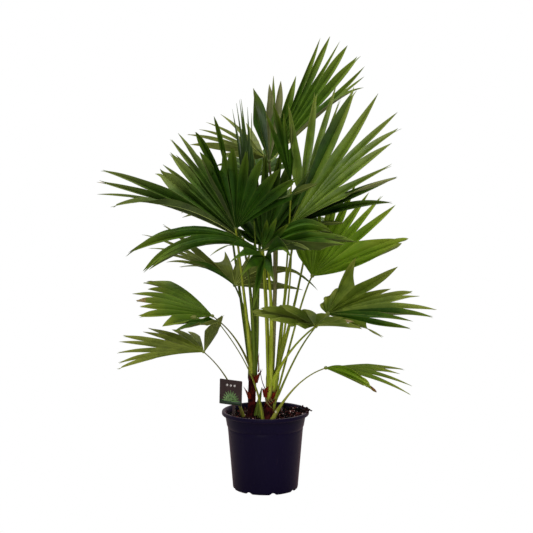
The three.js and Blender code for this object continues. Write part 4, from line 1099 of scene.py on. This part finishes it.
def make_pot():
    P = POT
    lip = P["rimZ"] - P["lip"]
    prof = [(0, 3.2), (58, 3.2), (66, 3.0), (71, 0.6), (P["footR"] - P["edge"], 0.0), (P["footR"] - 2.6, 0.5), (P["footR"] - 1.3, 1.9),
            (P["footR"] - 0.5, 4.2), (P["footR"] - 0.1, 6.6), (P["footR"], P["footZ"])]
    for u in np.linspace(0.1, 0.94, 10):
        prof.append((P["footR"] + (P["waistR"] - P["footR"]) * u, P["footZ"] + (P["waistZ"] - P["footZ"]) * u))
    w, z = P["waistR"], P["waistZ"]
    prof += [(w - 0.15, z - 3.0), (w - 0.7, z - 1.6), (w - 0.75, z - 0.6), (w + 0.1, z + 0.6), (w + 1.2, z + 3.0),
             (P["shoulderR"] - 0.3, P["shoulderZ"] - 0.8), (P["shoulderR"] + 0.25, P["shoulderZ"] + 1.0)]
    for u in np.linspace(0.2, 0.9, 4):
        prof.append((P["shoulderR"] + (P["neckR"] - P["shoulderR"]) * u, P["shoulderZ"] + (lip - 1.5 - P["shoulderZ"]) * u))
    prof += [(P["neckR"], lip - 1.5), (P["neckR"] + 1.2, lip - 0.9), (P["rimR"] - 2.6, lip - 0.5), (P["rimR"] - 1.0, lip + 0.3), (P["rimR"] - 0.2, lip + 1.6),
             (P["rimR"], lip + 3.2), (P["rimR"], P["rimZ"] - 3.0), (P["rimR"] - 0.35, P["rimZ"] - 1.3), (P["rimR"] - 1.3, P["rimZ"] - 0.3),
             (P["rimR"] - 2.6, P["rimZ"]), (P["neckR"] + 2.5, P["rimZ"] - 0.1), (P["neckR"] + 0.6, P["rimZ"] - 0.9), (P["neckR"] - 0.8, P["rimZ"] - 2.6),
             (inner_radius(lip), lip), (inner_radius(lip - 8), lip - 8), (inner_radius(P["shoulderZ"]), P["shoulderZ"]), (inner_radius(P["waistZ"]), P["waistZ"]),
             (inner_radius(60), 60), (inner_radius(P["footZ"]), P["footZ"]), (inner_radius(P["footZ"]) - 3, P["floor"] + 1.2), (0, P["floor"] + 1.2)]
    sides = 192
    b = Build()
    rings = []
    for r, z in prof:
        if r == 0:
            rings.append([b.vert((0, 0, z))])
            continue
        ring = []
        for s in range(sides):
            a = 2 * math.pi * s / sides
            zz, rr = z, r
            if z < 12 and r > 60:                                   # small arched water notches under the foot edge
                k = (a * P["notches"] / (2 * math.pi) - 0.31) % 1.0
                k = min(k, 1 - k) * 2 * math.pi / P["notches"] * P["footR"]
                lift = max(0.0, 1 - (k / (P["notchW"] * 0.62)) ** 2)
                zz = z + P["notchH"] * lift * max(0.0, 1 - z / 9.0) * (1.0 if r > 69 else 0.4)
            rr = rr + 0.12 * math.sin(3 * a + 0.7) * (z / 190.0)    # nursery pots are never quite round
            ring.append(b.vert((rr * math.cos(a), rr * math.sin(a), zz), (s / sides, z / 190.0)))
        rings.append(ring)
    for A, B in zip(rings, rings[1:]):
        for s in range(sides):
            e = (s + 1) % sides
            if len(A) == 1:
                b.face((A[0], B[e], B[s]))
            elif len(B) == 1:
                b.face((A[s], A[e], B[0]))
            else:
                b.face((A[s], A[e], B[e], B[s]))
    n = Nodes("pot_plastic")
    where = n.where()
    grain = n.noise(where, 900.0, 2.0)
    cloud = n.noise(n.where((1, 1, 0.5)), 14.0, 4.0)
    scuff = n.ramp(n.noise(n.where((1, 1, 0.12)), 120.0, 3.0, 0.7), 0.62, 0.80)
    col = n.mix(cloud, linear((15, 8, 37)), linear((22, 13, 49)))
    col = n.mix(n.math("MULTIPLY", scuff, 0.35), col, linear((66, 50, 66)))
    n.bump(n.math("ADD", grain, n.math("MULTIPLY", scuff, 0.4)), 0.00025, 0.5)
    n.set(Base_Color=col, Roughness=n.math("MULTIPLY_ADD", cloud, 0.2, 0.34), Specular_IOR_Level=0.10)
    n.bsdf.inputs["Sheen Weight"].default_value = 0.20
    n.bsdf.inputs["Sheen Roughness"].default_value = 0.35
    n.bsdf.inputs["Sheen Tint"].default_value = (0.84, 0.33, 0.37, 1.0)
    ob = b.object("nursery_pot", [n.mat], angle=38.0)
    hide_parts("pot")


# ------------------------------------------------------------------ soil


def soil_height(x, y):
    """Level of the soil at (x, y): flat in the middle, heaped towards the right-hand rim."""
    r = np.hypot(x, y)
    right = np.maximum(0.0, np.cos(np.arctan2(y, x) - 0.35)) ** 1.5
    climb = SOIL["rise"] * right * np.clip((r - SOIL["flatR"]) / 25.0, 0, 1)
    p = np.stack([x * 0.09, y * 0.09, np.zeros_like(x)], -1)
    q = np.stack([x * 0.33, y * 0.33, np.ones_like(x)], -1)
    return SOIL["z"] - 1.0 + climb + (fractal(p, 11) - 0.5) * 5.0 + (fractal(q, 23) - 0.5) * 3.4


def make_soil():
    b = Build()
    sides, rings = 150, 60
    edge = inner_radius(SOIL["z"]) - 0.4
    rr = np.linspace(0, edge, rings + 1)
    grid = []
    for k, r in enumerate(rr):
        if k == 0:
            grid.append([b.vert((0, 0, float(soil_height(np.array(0.0), np.array(0.0)))))])
            continue
        a = np.linspace(0, 2 * np.pi, sides, endpoint=False)
        x, y = r * np.cos(a), r * np.sin(a)
        h = soil_height(x, y)
        grid.append([b.vert((x[s], y[s], h[s])) for s in range(sides)])
    under = inner_radius(SOIL["z"] - 9.0) - 0.6
    low = [b.vert((v[0] * under / edge, v[1] * under / edge, SOIL["z"] - 9.0)) for v in (b.v[k] for k in grid[-1])]
    c = b.vert((0, 0, SOIL["z"] - 9.0))
    for s in range(sides):
        e = (s + 1) % sides
        b.face((grid[0][0], grid[1][s], grid[1][e]))
        for k in range(1, rings):
            b.face((grid[k][s], grid[k + 1][s], grid[k + 1][e], grid[k][e]))
        b.face((grid[-1][s], low[s], low[e], grid[-1][e]))
        b.face((low[s], c, low[e]))
    ob = b.object("potting_soil", [MAT["soil"]], angle=60.0)
    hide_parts("soil")

    rng = np.random.default_rng(5)
    chips, crumbs = Build(), Build()

    def clear(x, y):
        return all(math.hypot(x - S["base"][0], y - S["base"][1]) > S["baseR"] + 1.0 for S in (STEM_L, STEM_R))

    def place(room=2.5):
        while True:
            a, r = rng.uniform(0, 2 * np.pi), (edge - room) * math.sqrt(rng.random())
            x, y = r * math.cos(a), r * math.sin(a)
            if clear(x, y):
                return x, y, float(soil_height(np.array(x), np.array(y)))

    def lump(b, c, size, mat, rough=0.25):
        ax = unit(rng.normal(size=3))
        ay = unit(np.cross(ax, rng.normal(size=3)))
        az = np.cross(ax, ay)
        corners = []
        for sx in (-1, 1):
            for sy in (-1, 1):
                for sz in (-1, 1):
                    k = 1 + rng.uniform(-rough, rough, 3)
                    corners.append(b.vert(c + ax * sx * size[0] * k[0] / 2 + ay * sy * size[1] * k[1] / 2 + az * sz * size[2] * k[2] / 2))
        for f in ((0, 1, 3, 2), (4, 6, 7, 5), (0, 4, 5, 1), (2, 3, 7, 6), (0, 2, 6, 4), (1, 5, 7, 3)):
            b.face([corners[i] for i in f], mat)

    for _ in range(1500):
        big = rng.random() < 0.25
        L = rng.uniform(5, 12) if big else rng.uniform(2.0, 5.5)
        x, y, z = place(0.7 * L + 1.0)
        flat = unit(np.array([rng.normal(), rng.normal(), rng.normal() * 0.35]))
        lump(chips, np.array([x, y, z + 0.4]), (L, L * rng.uniform(0.3, 0.6), L * rng.uniform(0.15, 0.4)), int(rng.random() < 0.66), 0.35)
    for _ in range(250):
        x, y, z = place()
        if x < 10 and rng.random() < 0.6:
            continue
        s = rng.uniform(1.2, 2.9)
        lump(crumbs, np.array([x, y, z + 0.7]), (s, s * 0.85, s * 0.8), 0, 0.3)
    for _ in range(46):                                             # spilt crumbs on the rim at the right
        a = rng.normal(0.12, 0.22)
        r = rng.uniform(POT["neckR"] - 3, POT["rimR"] - 0.5)
        s = rng.uniform(1.0, 3.2)
        lump(chips, np.array([r * math.cos(a), r * math.sin(a), POT["rimZ"] + 0.4]), (s * 1.5, s, s * 0.7), int(rng.random() < 0.6), 0.35)
    for _ in range(11):                                             # a tuft of old root that hangs over the rim at the right
        a = rng.normal(0.06, 0.055)
        far = rng.uniform(1.5, 8.5)
        da = rng.uniform(-0.04, 0.04)
        way = [(POT["neckR"] - 5, POT["rimZ"] - 4.5), (POT["neckR"] + 1, POT["rimZ"] + 0.4), (POT["rimR"] - 3, POT["rimZ"] + 1.3), (POT["rimR"] + 0.4 * far, POT["rimZ"] + 0.6), (POT["rimR"] + far, POT["rimZ"] - rng.uniform(0.5, 3.5))]
        pts = [np.array([r * math.cos(a + da * k / 4), r * math.sin(a + da * k / 4), z + rng.uniform(-0.3, 0.3)]) for k, (r, z) in enumerate(way)]
        fat = rng.uniform(0.7, 1.3)
        tube(chips, pts, [fat, fat, fat, fat * 0.8, fat * 0.4], 5, int(rng.random() < 0.5))
    ob = chips.object("soil_bark_chips", [MAT["bark_chip"], MAT["dark_chip"]], smooth=False)
    ob = crumbs.object("soil_perlite", [MAT["perlite"]], smooth=False)


# ------------------------------------------------------------------ label


def make_label():
    Lb = LABEL
    turn, yaw = math.radians(Lb["turn"]), math.radians(Lb["yaw"])
    at = np.array(Lb["at"], float)

    def place(x, y, z):
        u, v = x * math.cos(turn) - z * math.sin(turn), x * math.sin(turn) + z * math.cos(turn)
        return (at[0] + u * math.cos(yaw) + y * math.sin(yaw), at[1] - u * math.sin(yaw) + y * math.cos(yaw), at[2] + v)

    w, h, r = Lb["w"] / 2, Lb["h"], 2.0
    foot = Lb["at"][2] - SOIL["z"] + 3
    outline = []
    for cx, cz, a0 in ((w - r, h - r, 0), (-w + r, h - r, 90), (-w + r, r, 180)):
        for q in range(6):
            a = math.radians(a0 + 18 * q)
            outline.append((cx + r * math.cos(a), cz + r * math.sin(a)))
    s, sx = Lb["stake"] / 2, Lb["stake_x"]
    outline += [(sx - s - 1.5, 0.0), (sx - s, -1.5), (sx - s, -foot), (sx, -foot - 4), (sx + s, -foot), (sx + s, -1.5), (sx + s + 1.5, 0.0)]
    for q in range(6):
        a = math.radians(270 + 18 * q)
        outline.append((w - r + r * math.cos(a), r + r * math.sin(a)))
    b = Build()
    front = [b.vert(place(x, -Lb["t"] / 2, z), (x / 60, z / 60)) for x, z in outline]
    back = [b.vert(place(x, Lb["t"] / 2, z), (x / 60, z / 60)) for x, z in outline]
    n = len(outline)
    b.face(tuple(reversed(front)), 0)
    b.face(tuple(back), 0)
    for k in range(n):
        e = (k + 1) % n
        b.face((front[k], front[e], back[e], back[k]), 1)
    m = Nodes("label_card")
    cloud = m.noise(m.where(), 60.0, 4.0)
    m.bump(m.noise(m.where(), 700.0, 2.0), 0.0002, 0.3)
    card = m.set(Base_Color=m.mix(cloud, linear((48, 32, 34)), linear((70, 50, 50))), Roughness=m.math("MULTIPLY_ADD", cloud, 0.12, 0.34), Specular_IOR_Level=0.35)
    m = Nodes("label_edge")
    m.set(Base_Color=linear((150, 140, 130)), Roughness=0.5)
    ob = b.object("plant_card", [card, m.mat], angle=30.0)
    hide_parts("plant_label")

    # plain print: a dark green foot band, a sprig of pale green leaves and three pale spots above it
    b = Build()

    def shape(points, mat, up=0.06):
        b.face([b.vert(place(x, -Lb["t"] / 2 - up, z)) for x, z in points], mat)

    shape([(-28.5, 1.5), (28.5, 1.5), (28.5, 11), (20, 13), (8, 11.5), (-6, 13.5), (-20, 11.5), (-28.5, 13)], 2)

    def leaf_shape(cx, cz, tilt, length, wide):
        t = math.radians(tilt)
        for sgn in (-1, 1):
            pts = [(0.0, 0.0)]
            for q in range(1, 10):
                u = q / 10
                pts.append((sgn * (0.35 + wide * math.sin(math.pi * u ** 0.8)), length * u))
            pts.append((0.0, length))
            pts += [(sgn * 0.35, length * 0.9), (sgn * 0.35, length * 0.08)]
            pts = [(cx + x * math.cos(t) + z * math.sin(t), cz - x * math.sin(t) + z * math.cos(t)) for x, z in pts]
            shape(pts if sgn > 0 else pts[::-1], 1, 0.10)

    for k in range(11):
        leaf_shape(0, 10, -88 + 17.6 * k, 23.5 + 2.5 * math.cos(math.radians(-88 + 17.6 * k)), 1.75)
    for k in range(3):
        cx, cz, rr = -10 + 10 * k, 47.0, 2.9
        shape([(cx + rr * math.cos(2 * math.pi * q / 20), cz + rr * math.sin(2 * math.pi * q / 20)) for q in range(20)], 0)
    # give the print a hair of thickness
    b.wall = 1
    b.solidify(0.04, under={0: 0, 1: 1, 2: 2})
    pm = Nodes("label_print_pale")
    c = pm.noise(pm.where(), 90.0, 3.0)
    pale = pm.set(Base_Color=pm.mix(c, linear((214, 206, 206)), linear((236, 230, 228))), Roughness=0.4)
    gm = Nodes("label_print_green")
    c = gm.noise(gm.where(), 120.0, 3.0)
    green = gm.set(Base_Color=gm.mix(c, linear((100, 156, 78)), linear((156, 196, 126))), Roughness=0.4)
    dm = Nodes("label_print_dark")
    c = dm.noise(dm.where(), 90.0, 3.0)
    dark = dm.set(Base_Color=dm.mix(c, linear((24, 44, 26)), linear((44, 70, 44))), Roughness=0.4)
    ob = b.object("card_print", [pale, green, dark], smooth=False)


# ------------------------------------------------------------------ make everything
make_blades()
make_stalks()
stem("stem_left", STEM_L, 31)
stem("stem_right", STEM_R, 37)
for k, F in enumerate(FLAPS):
    flap(k + 1, F, 51 + k)
make_fibres()
make_pot()
make_soil()
make_label()

# ------------------------------------------------------------------ floor, light
bpy.ops.mesh.primitive_circle_add(vertices=96, radius=40.0, fill_type="NGON", location=(0, 0, 0))
floor = bpy.context.object
floor.name = "floor"
fm = bpy.data.materials.new("floor_white")
fm.use_nodes = True
ft = fm.node_tree
ft.nodes.clear()
f_out = ft.nodes.new("ShaderNodeOutputMaterial")
f_mix = ft.nodes.new("ShaderNodeMixShader")
f_path = ft.nodes.new("ShaderNodeLightPath")
f_dif = ft.nodes.new("ShaderNodeBsdfDiffuse")
f_dif.inputs["Color"].default_value = (0.50, 0.50, 0.49, 1)
f_emi = ft.nodes.new("ShaderNodeEmission")
f_emi.inputs["Color"].default_value = (1, 1, 1, 1)
f_emi.inputs["Strength"].default_value = 1.0
ft.links.new(f_path.outputs["Is Camera Ray"], f_mix.inputs[0])
ft.links.new(f_dif.outputs[0], f_mix.inputs[1])
ft.links.new(f_emi.outputs[0], f_mix.inputs[2])
ft.links.new(f_mix.outputs[0], f_out.inputs[0])
floor.data.materials.append(fm)

# studio surroundings: a white backdrop behind and at the sides, dim towards the camera
world = bpy.data.worlds.new("studio")
bpy.context.scene.world = world
world.use_nodes = True
wt = world.node_tree
wt.nodes.clear()


def wnode(kind, **inputs):
    node = wt.nodes.new(kind)
    for name, value in inputs.items():
        socket = node.inputs[int(name[1:])]
        if hasattr(value, "is_output"):
            wt.links.new(value, socket)
        else:
            socket.default_value = value
    return node


out = wt.nodes.new("ShaderNodeOutputWorld")
bg = wt.nodes.new("ShaderNodeBackground")
white = wt.nodes.new("ShaderNodeBackground")
mixs = wt.nodes.new("ShaderNodeMixShader")
path = wt.nodes.new("ShaderNodeLightPath")
where = wt.nodes.new("ShaderNodeTexCoord")
split = wt.nodes.new("ShaderNodeSeparateXYZ")
wt.links.new(where.outputs["Generated"], split.inputs[0])
depth = wnode("ShaderNodeMapRange", _0=split.outputs[1], _1=-0.35, _2=0.8, _3=0.09, _4=0.75)
depth.interpolation_type = "SMOOTHSTEP"
above = wnode("ShaderNodeMapRange", _0=split.outputs[2], _1=0.15, _2=1.0, _3=0.0, _4=0.30)
total = wt.nodes.new("ShaderNodeMath")
total.operation = "ADD"
wt.links.new(depth.outputs[0], total.inputs[0])
wt.links.new(above.outputs[0], total.inputs[1])
bg.inputs["Color"].default_value = (1.0, 0.985, 0.96, 1)
wt.links.new(total.outputs[0], bg.inputs["Strength"])
white.inputs["Color"].default_value = (1, 1, 1, 1)
white.inputs["Strength"].default_value = 1.0
wt.links.new(path.outputs["Is Camera Ray"], mixs.inputs[0])
wt.links.new(bg.outputs[0], mixs.inputs[1])
wt.links.new(white.outputs[0], mixs.inputs[2])
wt.links.new(mixs.outputs[0], out.inputs[0])


def area(name, where, target, size, power, colour=(1, 1, 1)):
    d = bpy.data.lights.new(name, "AREA")
    d.shape = "RECTANGLE"
    d.size, d.size_y = size
    d.energy = power
    d.color = colour
    o = bpy.data.objects.new(name, d)
    bpy.context.scene.collection.objects.link(o)
    o.location = where
    o.rotation_euler = (Vector(target) - Vector(where)).to_track_quat("-Z", "Y").to_euler()
    return o


area("top", (0.0, 0.1, 2.8), (0, 0, 0.6), (1.6, 1.6), 30.0, (1.0, 0.99, 0.96))
area("front_high", (0.7, -2.2, 2.5), (0, 0, 0.6), (0.9, 0.9), 22.0, (1.0, 0.99, 0.96))
area("front_low", (-0.4, -2.4, 0.7), (0, 0, 0.38), (1.1, 0.7), 9.0, (1.0, 0.99, 0.96))
